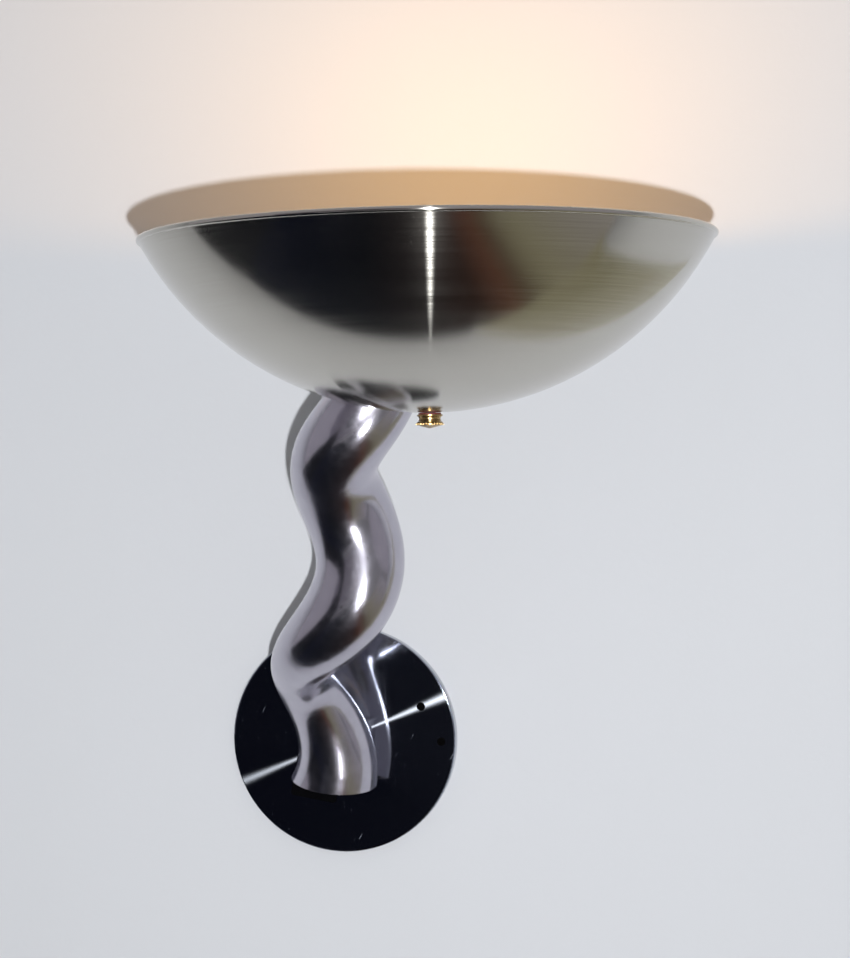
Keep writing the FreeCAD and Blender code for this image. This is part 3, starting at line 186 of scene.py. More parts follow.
# ---- Light
# Even light from all round, a small key lamp beside the camera that throws the bowl's crisp shadow on the
# wall above it, the lamp's own warm glow on the wall, and a soft fill overhead for the bowl's inside.
world = bpy.data.worlds.new("studio")
bpy.context.scene.world = world
world.use_nodes = True
sky_tree = world.node_tree
sky_tree.nodes.clear()
rays = add(sky_tree, "ShaderNodeLightPath")
seen = add(sky_tree, "ShaderNodeMath", {0: rays.outputs["Is Camera Ray"], 1: rays.outputs["Is Glossy Ray"]},
           operation="MAXIMUM")
seen = add(sky_tree, "ShaderNodeMath", {0: seen.outputs[0], 1: rays.outputs["Is Transmission Ray"]},
           operation="MAXIMUM")
soft_light = add(sky_tree, "ShaderNodeBackground", {"Color": linear("#fbfcff"), "Strength": 0.27})
backdrop = add(sky_tree, "ShaderNodeBackground", {"Color": linear("#a5a2a8"), "Strength": 1.0})
sky = add(sky_tree, "ShaderNodeMixShader",
          {0: seen.outputs[0], 1: soft_light.outputs[0], 2: backdrop.outputs[0]})
add(sky_tree, "ShaderNodeOutputWorld", {"Surface": sky.outputs[0]})


def area_light(name, place, target, size, power, colour):
    """Round area light at a place, facing a target."""
    data = bpy.data.lights.new(name, "AREA")
    data.shape = "DISK"
    data.size = size
    data.energy = power
    data.color = linear(colour)[:3]
    light = bpy.data.objects.new(name, data)
    light.location = place
    light.rotation_euler = (Vector(target) - Vector(place)).to_track_quat("-Z", "Y").to_euler()
    bpy.context.scene.collection.objects.link(light)
    return light


KEY_PLACE = (0.3066, -1.4425, 0.0924)
KEY_TARGET = (0.06, 0, 0.1)
KEY_SIZE = 16 * MM
DAYLIGHT = "#fbfdff"
area_light("key", KEY_PLACE, KEY_TARGET, KEY_SIZE, 15.0, DAYLIGHT)
glow = area_light("glow", (0.0877, -0.2099, 0.262), (0.0877, 0.2901, 2.262), 80 * MM, 0.62, "#ffbd5a")
# The key is doubled for reflections alone, which brings out its streaks on the brushed metals.
glint = area_light("glint", KEY_PLACE, KEY_TARGET, KEY_SIZE, 14.0, DAYLIGHT)
glint.visible_diffuse = False
# A lamp low on the right draws the arm's narrow white highlights, and nothing else.
shimmer = area_light("shimmer", (0.53, -1.34, -0.68), (0.04, -0.14, 0.08), 280 * MM, 7.0, DAYLIGHT)
shimmer.visible_diffuse = False
shimmer.visible_camera = False
only_arm = bpy.data.collections.new("only_arm")
only_arm.objects.link(nodes["arm"])
shimmer.light_linking.receiver_collection = only_arm
only_wall = bpy.data.collections.new("only_wall")
only_wall.objects.link(wall)
glow.light_linking.receiver_collection = only_wall
fill = area_light("fill", (0.25, -0.6, 1.5), (0.0877, -0.21, 0.24), 1200 * MM, 9.0, "#fffaf4")
fill.visible_glossy = False
not_wall = bpy.data.collections.new("not_wall")
not_wall.objects.link(wall)
not_wall.collection_objects[0].light_linking.link_state = "EXCLUDE"
fill.light_linking.receiver_collection = not_wall

bpy.context.scene.view_settings.view_transform = "Standard"


# ---- Zinc-plated steel pieces
# The strap on the wall, the arm's foot screws and washers, the seat's washer and nut, the bowl's stud,
# spacers and nuts, the carrier bridge with its screws, and the earth ring. Pressed or turned from mild
# steel, then zinc plated and passivated, which leaves a bluish grey with faint cloudy patches.
def dress(material, shader, *names):
    """Ends a material's tree with its shader and puts it on CAD nodes."""
    add(material.node_tree, "ShaderNodeOutputMaterial", {"Surface": shader.outputs[0]})
    for name in names:
        nodes[name].data.materials.clear()
        nodes[name].data.materials.append(material)


# Zinc plate: fine satin grain of about 0.25 mm and cloudy passivation patches of about 6 mm.
zinc, tree, place = blank_material("zinc_plated_steel")
clouds = add(tree, "ShaderNodeTexNoise", {"Vector": place, "Scale": 1 / (6 * MM), "Detail": 3.0})
grain = add(tree, "ShaderNodeTexNoise", {"Vector": place, "Scale": 1 / (0.25 * MM), "Detail": 2.0})
tint = add(tree, "ShaderNodeValToRGB", {"Fac": clouds.outputs[0]})
tint.color_ramp.elements[0].position = 0.3
tint.color_ramp.elements[0].color = linear("#a9adb0")
tint.color_ramp.elements[1].position = 0.7
tint.color_ramp.elements[1].color = linear("#c3c6c6")
wear = add(tree, "ShaderNodeMapRange",
           {"Value": clouds.outputs[0], "From Min": 0.3, "From Max": 0.7, "To Min": 0.3, "To Max": 0.46})
relief = add(tree, "ShaderNodeBump", {"Height": grain.outputs[0], "Strength": 0.3, "Distance": 0.02 * MM})
shader = add(tree, "ShaderNodeBsdfPrincipled", {"Base Color": tint.outputs[0], "Metallic": 1.0,
                                                "Roughness": wear.outputs[0], "Normal": relief.outputs[0]})
dress(zinc, shader, "wall_bracket", "foot_screws", "foot_washers", "seat_washer", "nipple_nut",
      "carrier_spacer", "reflector_spacer", "stud_nuts", "lamp_carrier", "holder_screws", "earth_ring")

# Rolled threads: the same plate over a thread of 1 mm pitch, drawn by bump along the piece's own axis.
THREAD_PITCH = 1.0 * MM
seat_low, seat_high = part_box("arm_top_nipple")
bowl_low, bowl_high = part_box("bowl")
BOWL_AXIS = Vector(((bowl_low.x + bowl_high.x) / 2, (bowl_low.y + bowl_high.y) / 2, 0))
BOWL_DEPTH = bowl_high.z - bowl_low.z
BOWL_RIM_RADIUS = (bowl_high.x - bowl_low.x) / 2
SPHERE_RADIUS = (BOWL_RIM_RADIUS ** 2 + BOWL_DEPTH ** 2) / (2 * BOWL_DEPTH)
SPHERE_CENTRE = Vector((BOWL_AXIS.x, BOWL_AXIS.y, bowl_low.z + SPHERE_RADIUS))
SEAT_LINE = ((seat_low + seat_high) / 2 - SPHERE_CENTRE).normalized()
for name, axis in (("centre_stud", Vector((0, 0, 1))), ("arm_top_nipple", SEAT_LINE)):
    threaded, tree, place = blank_material("zinc_plated_thread_" + name)
    along = add(tree, "ShaderNodeVectorMath", {0: place, 1: axis}, operation="DOT_PRODUCT")
    turn = add(tree, "ShaderNodeMath", {0: along.outputs["Value"], 1: 2 * math.pi / THREAD_PITCH},
               operation="MULTIPLY")
    crest = add(tree, "ShaderNodeMath", {0: turn.outputs[0]}, operation="SINE")
    # Painted shade: the colour runs from dark grey in the thread roots to light on the crests.
    painted_root_shade = add(tree, "ShaderNodeMapRange",
                {"Value": crest.outputs[0], "From Min": -1.0, "From Max": 0.4, "To Min": 0.35, "To Max": 1.0})
    tint = add(tree, "ShaderNodeMix", {0: painted_root_shade.outputs[0], 6: linear("#5b5d60"), 7: linear("#bcbfc0")},
               data_type="RGBA")
    relief = add(tree, "ShaderNodeBump", {"Height": crest.outputs[0], "Strength": 0.9, "Distance": 0.25 * MM})
    shader = add(tree, "ShaderNodeBsdfPrincipled", {"Base Color": tint.outputs[2], "Metallic": 1.0,
                                                    "Roughness": 0.36, "Normal": relief.outputs[0]})
    dress(threaded, shader, name)


# ---- Wall disc
# A shallow cup turned from stainless steel. Its face is polished on the lathe, so that it mirrors the
# arm, and still carries very fine circular marks, which draw every lamp out into a line through the centre.
disc_steel, tree, place = blank_material("lathe_polished_stainless_steel")
axes = add(tree, "ShaderNodeSeparateXYZ", {0: place})
flat = add(tree, "ShaderNodeCombineXYZ", {0: axes.outputs[0], 2: axes.outputs[2]})
reach = add(tree, "ShaderNodeVectorMath", {0: flat.outputs[0]}, operation="LENGTH")
# Lathe marks a few hundredths of a millimetre apart are drawn 0.15 mm apart. Their sides are a second, faint
# reflection, spread widely across the marks and hardly along them, so that only a bright lamp shows it.
ring = add(tree, "ShaderNodeMath", {0: reach.outputs["Value"], 1: 1 / (0.15 * MM)}, operation="MULTIPLY")
swing = add(tree, "ShaderNodeVectorMath", {0: flat.outputs[0], "Scale": 1 / (120 * MM)}, operation="SCALE")
swing_axes = add(tree, "ShaderNodeSeparateXYZ", {0: swing.outputs[0]})
ring_place = add(tree, "ShaderNodeCombineXYZ",
                 {0: swing_axes.outputs[0], 1: ring.outputs[0], 2: swing_axes.outputs[2]})
marks = add(tree, "ShaderNodeTexNoise", {"Vector": ring_place.outputs[0], "Scale": 1.0, "Detail": 0.0})
# Scratches from cleaning: 14 mm long, 0.35 mm wide, steep from lower left to upper right.
tilt = add(tree, "ShaderNodeMapping", {0: place, "Rotation": (0, math.radians(-62), 0),
                                       "Scale": (14 * MM, 1.0, 0.35 * MM)}, vector_type="TEXTURE")
scratch = add(tree, "ShaderNodeTexNoise", {"Vector": tilt.outputs[0], "Scale": 1.0, "Detail": 0.0})
scratched = add(tree, "ShaderNodeMapRange", {"Value": scratch.outputs[0], "From Min": 0.83, "From Max": 0.88})
# Dust: specks of about half a millimetre.
dust = add(tree, "ShaderNodeTexNoise", {"Vector": place, "Scale": 1 / (0.9 * MM), "Detail": 1.0})
dusty = add(tree, "ShaderNodeMapRange", {"Value": dust.outputs[0], "From Min": 0.76, "From Max": 0.82})
wear_and_pit_shade = add(tree, "ShaderNodeMath", {0: scratched.outputs[0], 1: dusty.outputs[0]}, operation="MAXIMUM")
tint = add(tree, "ShaderNodeMix", {0: marks.outputs[0], 6: linear("#848a98"), 7: linear("#9ba0aa")},
           data_type="RGBA")
shine = add(tree, "ShaderNodeMapRange", {"Value": wear_and_pit_shade.outputs[0], "To Min": 0.07, "To Max": 0.4})
polish = add(tree, "ShaderNodeBsdfPrincipled",
             {"Base Color": tint.outputs[2], "Metallic": 1.0, "Roughness": shine.outputs[0]})
cuts = add(tree, "ShaderNodeBsdfAnisotropic",
           {"Color": linear("#cdd2dc"), "Roughness": 0.186, "Anisotropy": -0.826, "Tangent": flat.outputs[0]},
           distribution="BECKMANN")
shader = add(tree, "ShaderNodeMixShader", {0: 0.014, 1: polish.outputs[0], 2: cuts.outputs[0]})
dress(disc_steel, shader, "wall_disc")


# ---- Lock screws
# Two hexagon-socket set screws that hold the disc on its bracket. Hardened steel with an oil-black finish,
# sunk a little below the polished face, so that they read as dark holes.
oil_black, tree, place = blank_material("black_oxide_steel")
bloom = add(tree, "ShaderNodeTexNoise", {"Vector": place, "Scale": 1 / (0.6 * MM), "Detail": 2.0})
tint = add(tree, "ShaderNodeMix", {0: bloom.outputs[0], 6: linear("#050506"), 7: linear("#0f0e0e")},
           data_type="RGBA")
shine = add(tree, "ShaderNodeMapRange", {"Value": bloom.outputs[0], "To Min": 0.4, "To Max": 0.6})
shader = add(tree, "ShaderNodeBsdfPrincipled", {"Base Color": tint.outputs[2], "Metallic": 0.0,
                                                "Roughness": shine.outputs[0], "Specular IOR Level": 0.0})
dress(oil_black, shader, "disc_lock_screws")


# ---- Cable bush and arm end plug
# The bush lines the disc's cable slot and the plug closes the arm's lower end. Both are injection moulded
# in black polyamide: dull, with the fine sparked texture of the mould.
black_nylon, tree, place = blank_material("moulded_black_polyamide")
spark = add(tree, "ShaderNodeTexNoise", {"Vector": place, "Scale": 1 / (0.35 * MM), "Detail": 2.0})
sheen = add(tree, "ShaderNodeTexNoise", {"Vector": place, "Scale": 1 / (7 * MM), "Detail": 2.0})
tint = add(tree, "ShaderNodeMix", {0: sheen.outputs[0], 6: linear("#050506"), 7: linear("#0e0e10")},
           data_type="RGBA")
shine = add(tree, "ShaderNodeMapRange", {"Value": sheen.outputs[0], "To Min": 0.42, "To Max": 0.62})
relief = add(tree, "ShaderNodeBump", {"Height": spark.outputs[0], "Strength": 0.5, "Distance": 0.05 * MM})
shader = add(tree, "ShaderNodeBsdfPrincipled", {"Base Color": tint.outputs[2], "Roughness": shine.outputs[0],
                                                "Specular IOR Level": 0.0, "Normal": relief.outputs[0]})
dress(black_nylon, shader, "cable_bush", "arm_end_plug")


# ---- Terminal block
# Three-way block on the arm's pad that joins the mains to the inner leads. Natural polyamide, moulded,
# slightly waxy and translucent, with brass clamp screws.
natural_nylon, tree, place = blank_material("moulded_natural_polyamide")
flow = add(tree, "ShaderNodeTexNoise", {"Vector": place, "Scale": 1 / (3 * MM), "Detail": 2.0})
tint = add(tree, "ShaderNodeMix", {0: flow.outputs[0], 6: linear("#d9d4c4"), 7: linear("#ebe8dd")},
           data_type="RGBA")
shine = add(tree, "ShaderNodeMapRange", {"Value": flow.outputs[0], "To Min": 0.38, "To Max": 0.55})
shader = add(tree, "ShaderNodeBsdfPrincipled",
             {"Base Color": tint.outputs[2], "Roughness": shine.outputs[0], "Subsurface Weight": 0.25,
              "Subsurface Radius": (1.0, 0.9, 0.7), "Subsurface Scale": 1.0 * MM})
dress(natural_nylon, shader, "terminal_block")


# ---- Arm
# The corkscrew arm is a hollow aluminium casting, ground and polished by hand to a satin shine with a fifth
# of it burnished brighter. The polish leaves a faint orange peel and a few open pits, given here in mm.
ARM_PITS = [((26.4, -144.1, 86.5), 1.1), ((27.8, -143.0, 82.0), 0.8), ((4.2, -133.3, 67.8), 0.8),
            ((42.4, -147.2, 113.8), 0.7), ((45.7, -188.5, 184.4), 0.7), ((43.4, -187.8, 180.8), 0.6),
            ((5.0, -77.8, 38.3), 1.6)]
cast, tree, place = blank_material("satin_polished_cast_aluminium")
peel = add(tree, "ShaderNodeTexNoise", {"Vector": place, "Scale": 1 / (9 * MM), "Detail": 2.0})
skin = add(tree, "ShaderNodeTexNoise", {"Vector": place, "Scale": 1 / (1.1 * MM), "Detail": 3.0})
rubbed = add(tree, "ShaderNodeTexNoise", {"Vector": place, "Scale": 1 / (3.5 * MM), "Detail": 2.0})
depth = None
for pit, size in ARM_PITS:
    away = add(tree, "ShaderNodeVectorMath", {0: place, 1: Vector(pit) * MM}, operation="DISTANCE")
    hollow = add(tree, "ShaderNodeMapRange",
                 {"Value": away.outputs["Value"], "From Min": 0.2 * size * MM, "From Max": size * MM,
                  "To Min": 1.0, "To Max": 0.0}, interpolation_type="SMOOTHSTEP")
    if depth is None:
        depth = hollow
    else:
        depth = add(tree, "ShaderNodeMath", {0: depth.outputs[0], 1: hollow.outputs[0]}, operation="MAXIMUM")
height = add(tree, "ShaderNodeMath", {0: depth.outputs[0], 1: -5.0, 2: skin.outputs[0]},
             operation="MULTIPLY_ADD")
relief = add(tree, "ShaderNodeBump", {"Height": height.outputs[0], "Strength": 0.4, "Distance": 0.02 * MM})
broad = add(tree, "ShaderNodeBump",
            {"Height": peel.outputs[0], "Strength": 0.2, "Distance": 0.1 * MM, "Normal": relief.outputs[0]})
tint = add(tree, "ShaderNodeMix", {0: peel.outputs[0], 6: linear("#b2afbb"), 7: linear("#c3c0ca")},
           data_type="RGBA")
# Painted shade: inside the pits the colour is mixed to a darker grey.
wear_and_pit_shade = add(tree, "ShaderNodeMix", {0: depth.outputs[0], 6: tint.outputs[2], 7: linear("#8f8c94")},
             data_type="RGBA")
shine = add(tree, "ShaderNodeMapRange",
            {"Value": rubbed.outputs[0], "From Min": 0.3, "From Max": 0.7, "To Min": 0.19, "To Max": 0.23})
satin = add(tree, "ShaderNodeBsdfPrincipled", {"Base Color": wear_and_pit_shade.outputs[2], "Metallic": 1.0,
                                               "Roughness": shine.outputs[0], "Normal": broad.outputs[0]})
gloss = add(tree, "ShaderNodeBsdfPrincipled",
            {"Base Color": wear_and_pit_shade.outputs[2], "Metallic": 1.0, "Roughness": 0.1, "Normal": broad.outputs[0]})
shader = add(tree, "ShaderNodeMixShader", {0: 0.2, 1: satin.outputs[0], 2: gloss.outputs[0]})
dress(cast, shader, "arm")


# ---- Gasket
# Thin pad between the arm's head and the bowl, stamped from black rubber sheet, with a bloom of talc.
rubber, tree, place = blank_material("black_rubber_sheet")
talc = add(tree, "ShaderNodeTexNoise", {"Vector": place, "Scale": 1 / (2.5 * MM), "Detail": 4.0})
tint = add(tree, "ShaderNodeMix", {0: talc.outputs[0], 6: linear("#101012"), 7: linear("#2a2a2c")},
           data_type="RGBA")
relief = add(tree, "ShaderNodeBump", {"Height": talc.outputs[0], "Strength": 0.3, "Distance": 0.1 * MM})
shader = add(tree, "ShaderNodeBsdfPrincipled",
             {"Base Color": tint.outputs[2], "Roughness": 0.75, "Normal": relief.outputs[0]})
dress(rubber, shader, "bowl_gasket")


# ---- Bowl
# The uplighter's shade: sheet steel spun on a lathe to a shallow spherical bowl, its rim rolled to a small
# bead, then brushed while it turned. Every groove runs round the bowl, so a lamp shows as one upright streak.
def new_tree(name, inputs):
    """Geometry Nodes tree with named inputs, given as (name, kind)."""
    tree = bpy.data.node_groups.new(name, "GeometryNodeTree")
    for label, kind in inputs:
        tree.interface.new_socket(label, in_out="INPUT", socket_type="NodeSocket" + kind)
    tree.interface.new_socket("Geometry", in_out="OUTPUT", socket_type="NodeSocketGeometry")
    return tree, add(tree, "NodeGroupInput"), add(tree, "NodeGroupOutput")


SHARP_EDGE = math.radians(38)


def grown(name, tree, values, body):
    """Plain mesh piece from a Geometry Nodes tree, riding on a body. Values go to the tree's named inputs."""
    holder = new_piece(name, [(0, 0, 0)], [])
    modifier = holder.modifiers.new("shape", "NODES")
    modifier.node_group = tree
    for item in tree.interface.items_tree:
        if item.in_out == "INPUT":
            modifier[item.identifier] = values[item.name]
    bpy.context.view_layer.update()
    shaped = holder.evaluated_get(bpy.context.evaluated_depsgraph_get())
    mesh = bpy.data.meshes.new_from_object(shaped)
    mesh.name = name
    holder.modifiers.clear()
    holder.data = mesh
    mesh.set_sharp_from_angle(angle=SHARP_EDGE)
    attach(holder, body)
    return holder


# Circular brushing: grooves a tenth of a millimetre apart are drawn as lines of 0.5 mm that run for about
# 60 mm round the bowl. Most are shallow and only soften what it mirrors; a small share is steep, spreads a
# lamp's light up and down alone and makes the streak. The spinning roller left soft bands of about 9 mm.
brushed, tree, place = blank_material("circular_brushed_spun_steel")
from_centre = add(tree, "ShaderNodeVectorMath", {0: place, 1: SPHERE_CENTRE}, operation="SUBTRACT")
axes = add(tree, "ShaderNodeSeparateXYZ", {0: from_centre.outputs[0]})
flat = add(tree, "ShaderNodeCombineXYZ", {0: axes.outputs[0], 1: axes.outputs[1]})
reach = add(tree, "ShaderNodeVectorMath", {0: flat.outputs[0]}, operation="LENGTH")
drop = add(tree, "ShaderNodeMath", {0: axes.outputs[2], 1: -1.0}, operation="MULTIPLY")
lean = add(tree, "ShaderNodeMath", {0: reach.outputs["Value"], 1: drop.outputs[0]}, operation="ARCTAN2")
groove = add(tree, "ShaderNodeMath", {0: lean.outputs[0], 1: SPHERE_RADIUS / (0.5 * MM)},
             operation="MULTIPLY")
swing = add(tree, "ShaderNodeVectorMath", {0: flat.outputs[0], "Scale": 1 / (60 * MM)}, operation="SCALE")
swing_axes = add(tree, "ShaderNodeSeparateXYZ", {0: swing.outputs[0]})
groove_place = add(tree, "ShaderNodeCombineXYZ",
                   {0: swing_axes.outputs[0], 1: swing_axes.outputs[1], 2: groove.outputs[0]})
grooves = add(tree, "ShaderNodeTexNoise", {"Vector": groove_place.outputs[0], "Scale": 1.0, "Detail": 0.0})
band = add(tree, "ShaderNodeMath", {0: lean.outputs[0], 1: SPHERE_RADIUS / (9 * MM)}, operation="MULTIPLY")
bands = add(tree, "ShaderNodeTexNoise", {"W": band.outputs[0], "Scale": 1.0, "Detail": 1.0},
            noise_dimensions="1D")
nicks = add(tree, "ShaderNodeTexNoise", {"Vector": place, "Scale": 1 / (1.2 * MM), "Detail": 1.0})
nick = add(tree, "ShaderNodeMapRange", {"Value": nicks.outputs[0], "From Min": 0.73, "From Max": 0.8})
tint = add(tree, "ShaderNodeMapRange", {"Value": grooves.outputs[0], "From Min": 0.25, "From Max": 0.75})
colour = add(tree, "ShaderNodeMix", {0: tint.outputs[0], 6: linear("#bbb7af"), 7: linear("#c6c3bb")},
             data_type="RGBA")
rough = add(tree, "ShaderNodeMath", {0: grooves.outputs[0], 1: bands.outputs[0]}, operation="ADD")
shine = add(tree, "ShaderNodeMapRange",
            {"Value": rough.outputs[0], "From Min": 0.6, "From Max": 1.4, "To Min": 0.105, "To Max": 0.13})
marked = add(tree, "ShaderNodeMath", {0: nick.outputs[0], 1: 0.12, 2: shine.outputs[0]},
             operation="MULTIPLY_ADD")
upright = add(tree, "ShaderNodeCombineXYZ", {2: 1.0})
satin = add(tree, "ShaderNodeBsdfPrincipled",
            {"Base Color": colour.outputs[2], "Metallic": 1.0, "Roughness": marked.outputs[0],
             "Anisotropic": 0.93, "Tangent": upright.outputs[0]})
share = add(tree, "ShaderNodeMapRange",
            {"Value": grooves.outputs[0], "From Min": 0.3, "From Max": 0.7, "To Min": 0.03, "To Max": 0.1})
cuts = add(tree, "ShaderNodeBsdfAnisotropic",
           {"Color": colour.outputs[2], "Roughness": 0.277, "Anisotropy": -0.844,
            "Tangent": upright.outputs[0]}, distribution="BECKMANN")
shader = add(tree, "ShaderNodeMixShader", {0: share.outputs[0], 1: satin.outputs[0], 2: cuts.outputs[0]})
add(tree, "ShaderNodeOutputMaterial", {"Surface": shader.outputs[0]})

# The bowl's profile runs out along the inner face, round the bead and back down the outer face. It is
# turned about the bowl's axis, and the holes for the arm's tube and for the stud are cut through it.
BOWL_SHEET = 1.4 * MM
BEAD_RADIUS = 1.5 * MM
INNER_RADIUS = SPHERE_RADIUS - BOWL_SHEET
BEAD_REACH = BOWL_RIM_RADIUS - BEAD_RADIUS
BEAD_DROP = SPHERE_CENTRE.z - (bowl_high.z - BEAD_RADIUS)
BEAD_AWAY = math.hypot(BEAD_REACH, BEAD_DROP)
BEAD_TO_CENTRE = math.atan2(BEAD_DROP, -BEAD_REACH)


def meeting(radius):
    """Polar angle on the sphere of this radius, and angle on the bead, where the face runs into the bead."""
    spread = math.acos((BEAD_AWAY ** 2 + BEAD_RADIUS ** 2 - radius ** 2) / (2 * BEAD_AWAY * BEAD_RADIUS))
    on_bead = BEAD_TO_CENTRE + spread
    reach = BEAD_REACH + BEAD_RADIUS * math.cos(on_bead)
    height = -BEAD_DROP + BEAD_RADIUS * math.sin(on_bead)
    return math.atan2(reach, -height), on_bead


inner_lean, bead_start = meeting(INNER_RADIUS)
outer_lean, bead_end = meeting(SPHERE_RADIUS)
bead_end -= 2 * math.pi if bead_end > bead_start - math.pi else 0

shell, given, result = new_tree("spun_bowl", [
    ("Profile Points", "Int"), ("Points Round", "Int"), ("Outer Radius", "Float"), ("Inner Radius", "Float"),
    ("Inner Lean", "Float"), ("Outer Lean", "Float"), ("Bead Radius", "Float"), ("Bead Reach", "Float"),
    ("Bead Drop", "Float"), ("Bead Start", "Float"), ("Bead End", "Float"), ("Centre", "Vector"),
    ("Stud Hole", "Float"), ("Seat Hole", "Float"), ("Seat Turn", "Vector"), ("Seat Place", "Vector"),
    ("Finish", "Material")])
# Shares of the profile where the bead starts and ends. The points at both joints belong to the faces.
BEAD_FROM = 0.4
BEAD_TO = 0.6
JOINT_MARGIN = 0.001
CUTTER_LENGTH = 20 * MM
sheet = add(shell, "GeometryNodeMeshGrid",
            {"Size X": 1.0, "Size Y": 1.0, "Vertices X": given.outputs["Profile Points"],
             "Vertices Y": given.outputs["Points Round"]})
spot = add(shell, "GeometryNodeInputPosition")
spot_axes = add(shell, "ShaderNodeSeparateXYZ", {0: spot.outputs[0]})
run = add(shell, "ShaderNodeMath", {0: spot_axes.outputs[0], 1: 0.5}, operation="ADD")
inner_turn = add(shell, "ShaderNodeMapRange",
                 {"Value": run.outputs[0], "From Min": 0.0, "From Max": BEAD_FROM, "To Min": 0.0,
                  "To Max": given.outputs["Inner Lean"]})
bead_turn = add(shell, "ShaderNodeMapRange",
                {"Value": run.outputs[0], "From Min": BEAD_FROM, "From Max": BEAD_TO,
                 "To Min": given.outputs["Bead Start"], "To Max": given.outputs["Bead End"]})
outer_turn = add(shell, "ShaderNodeMapRange", {"Value": run.outputs[0], "From Min": BEAD_TO, "From Max": 1.0,
                                               "To Min": given.outputs["Outer Lean"], "To Max": 0.0})
on_bead = add(shell, "ShaderNodeMath", {0: run.outputs[0], 1: BEAD_FROM + JOINT_MARGIN},
              operation="GREATER_THAN")
on_outer = add(shell, "ShaderNodeMath", {0: run.outputs[0], 1: BEAD_TO - JOINT_MARGIN},
               operation="GREATER_THAN")
rows = []
for turn, radius in ((inner_turn, "Inner Radius"), (bead_turn, "Bead Radius"), (outer_turn, "Outer Radius")):
    across = add(shell, "ShaderNodeMath", {0: turn.outputs[0]},
                 operation="COSINE" if turn is bead_turn else "SINE")
    along = add(shell, "ShaderNodeMath", {0: turn.outputs[0]},
                operation="SINE" if turn is bead_turn else "COSINE")
    across = add(shell, "ShaderNodeMath", {0: across.outputs[0], 1: given.outputs[radius]},
                 operation="MULTIPLY")
    along = add(shell, "ShaderNodeMath", {0: along.outputs[0], 1: given.outputs[radius]},
                operation="MULTIPLY")
    if turn is bead_turn:
        across = add(shell, "ShaderNodeMath", {0: across.outputs[0], 1: given.outputs["Bead Reach"]},
                     operation="ADD")
        along = add(shell, "ShaderNodeMath", {0: along.outputs[0], 1: given.outputs["Bead Drop"]},
                    operation="SUBTRACT")
    else:
        along = add(shell, "ShaderNodeMath", {0: along.outputs[0], 1: -1.0}, operation="MULTIPLY")
    rows.append(add(shell, "ShaderNodeCombineXYZ", {0: across.outputs[0], 2: along.outputs[0]}))
low_part = add(shell, "ShaderNodeMix", {0: on_bead.outputs[0], 4: rows[0].outputs[0], 5: rows[1].outputs[0]},
               data_type="VECTOR")
profile = add(shell, "ShaderNodeMix", {0: on_outer.outputs[0], 4: low_part.outputs[1], 5: rows[2].outputs[0]},
              data_type="VECTOR")
spin = add(shell, "ShaderNodeMath", {0: spot_axes.outputs[1], 1: 2 * math.pi}, operation="MULTIPLY")
spun = add(shell, "ShaderNodeVectorRotate", {"Vector": profile.outputs[1], "Angle": spin.outputs[0]},
           rotation_type="Z_AXIS")
spun = add(shell, "ShaderNodeVectorMath", {0: spun.outputs[0], 1: given.outputs["Centre"]}, operation="ADD")
bent = add(shell, "GeometryNodeSetPosition", {"Geometry": sheet.outputs[0], "Position": spun.outputs[0]})
closed = add(shell, "GeometryNodeMergeByDistance", {"Geometry": bent.outputs[0], "Distance": 0.001 * MM})
stud_cutter = add(shell, "GeometryNodeMeshCylinder",
                  {"Vertices": 32, "Radius": given.outputs["Stud Hole"], "Depth": CUTTER_LENGTH})
down = add(shell, "ShaderNodeCombineXYZ", {2: given.outputs["Outer Radius"]})
floor_spot = add(shell, "ShaderNodeVectorMath", {0: given.outputs["Centre"], 1: down.outputs[0]},
                 operation="SUBTRACT")
stud_cutter = add(shell, "GeometryNodeTransform",
                  {"Geometry": stud_cutter.outputs[0], "Translation": floor_spot.outputs[0]})
seat_cutter = add(shell, "GeometryNodeMeshCylinder",
                  {"Vertices": 32, "Radius": given.outputs["Seat Hole"], "Depth": CUTTER_LENGTH})
seat_cutter = add(shell, "GeometryNodeTransform",
                  {"Geometry": seat_cutter.outputs[0], "Rotation": given.outputs["Seat Turn"],
                   "Translation": given.outputs["Seat Place"]})
drilled = add(shell, "GeometryNodeMeshBoolean",
              {"Mesh 1": closed.outputs[0], "Mesh 2": stud_cutter.outputs[0]}, operation="DIFFERENCE",
              solver="EXACT")
shell.links.new(seat_cutter.outputs[0], drilled.inputs["Mesh 2"])
smooth = add(shell, "GeometryNodeSetShadeSmooth", {"Geometry": drilled.outputs[0]})
real = add(shell, "GeometryNodeRealizeInstances", {"Geometry": smooth.outputs[0]})
finished = add(shell, "GeometryNodeSetMaterial",
               {"Geometry": real.outputs[0], "Material": given.outputs["Finish"]})
shell.links.new(finished.outputs[0], result.inputs[0])

bowl = grown("spun_bowl_shade", shell, {
    "Profile Points": 121, "Points Round": 257, "Outer Radius": SPHERE_RADIUS, "Inner Radius": INNER_RADIUS,
    "Inner Lean": inner_lean, "Outer Lean": outer_lean, "Bead Radius": BEAD_RADIUS, "Bead Reach": BEAD_REACH,
    "Bead Drop": BEAD_DROP, "Bead Start": bead_start, "Bead End": bead_end, "Centre": SPHERE_CENTRE,
    "Stud Hole": 3.3 * MM, "Seat Hole": 5.05 * MM,
    "Seat Turn": Vector(SEAT_LINE.to_track_quat("Z", "Y").to_euler()),
    "Seat Place": SPHERE_CENTRE + SEAT_LINE * SPHERE_RADIUS, "Finish": brushed}, "lamp_body")
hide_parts("bowl")


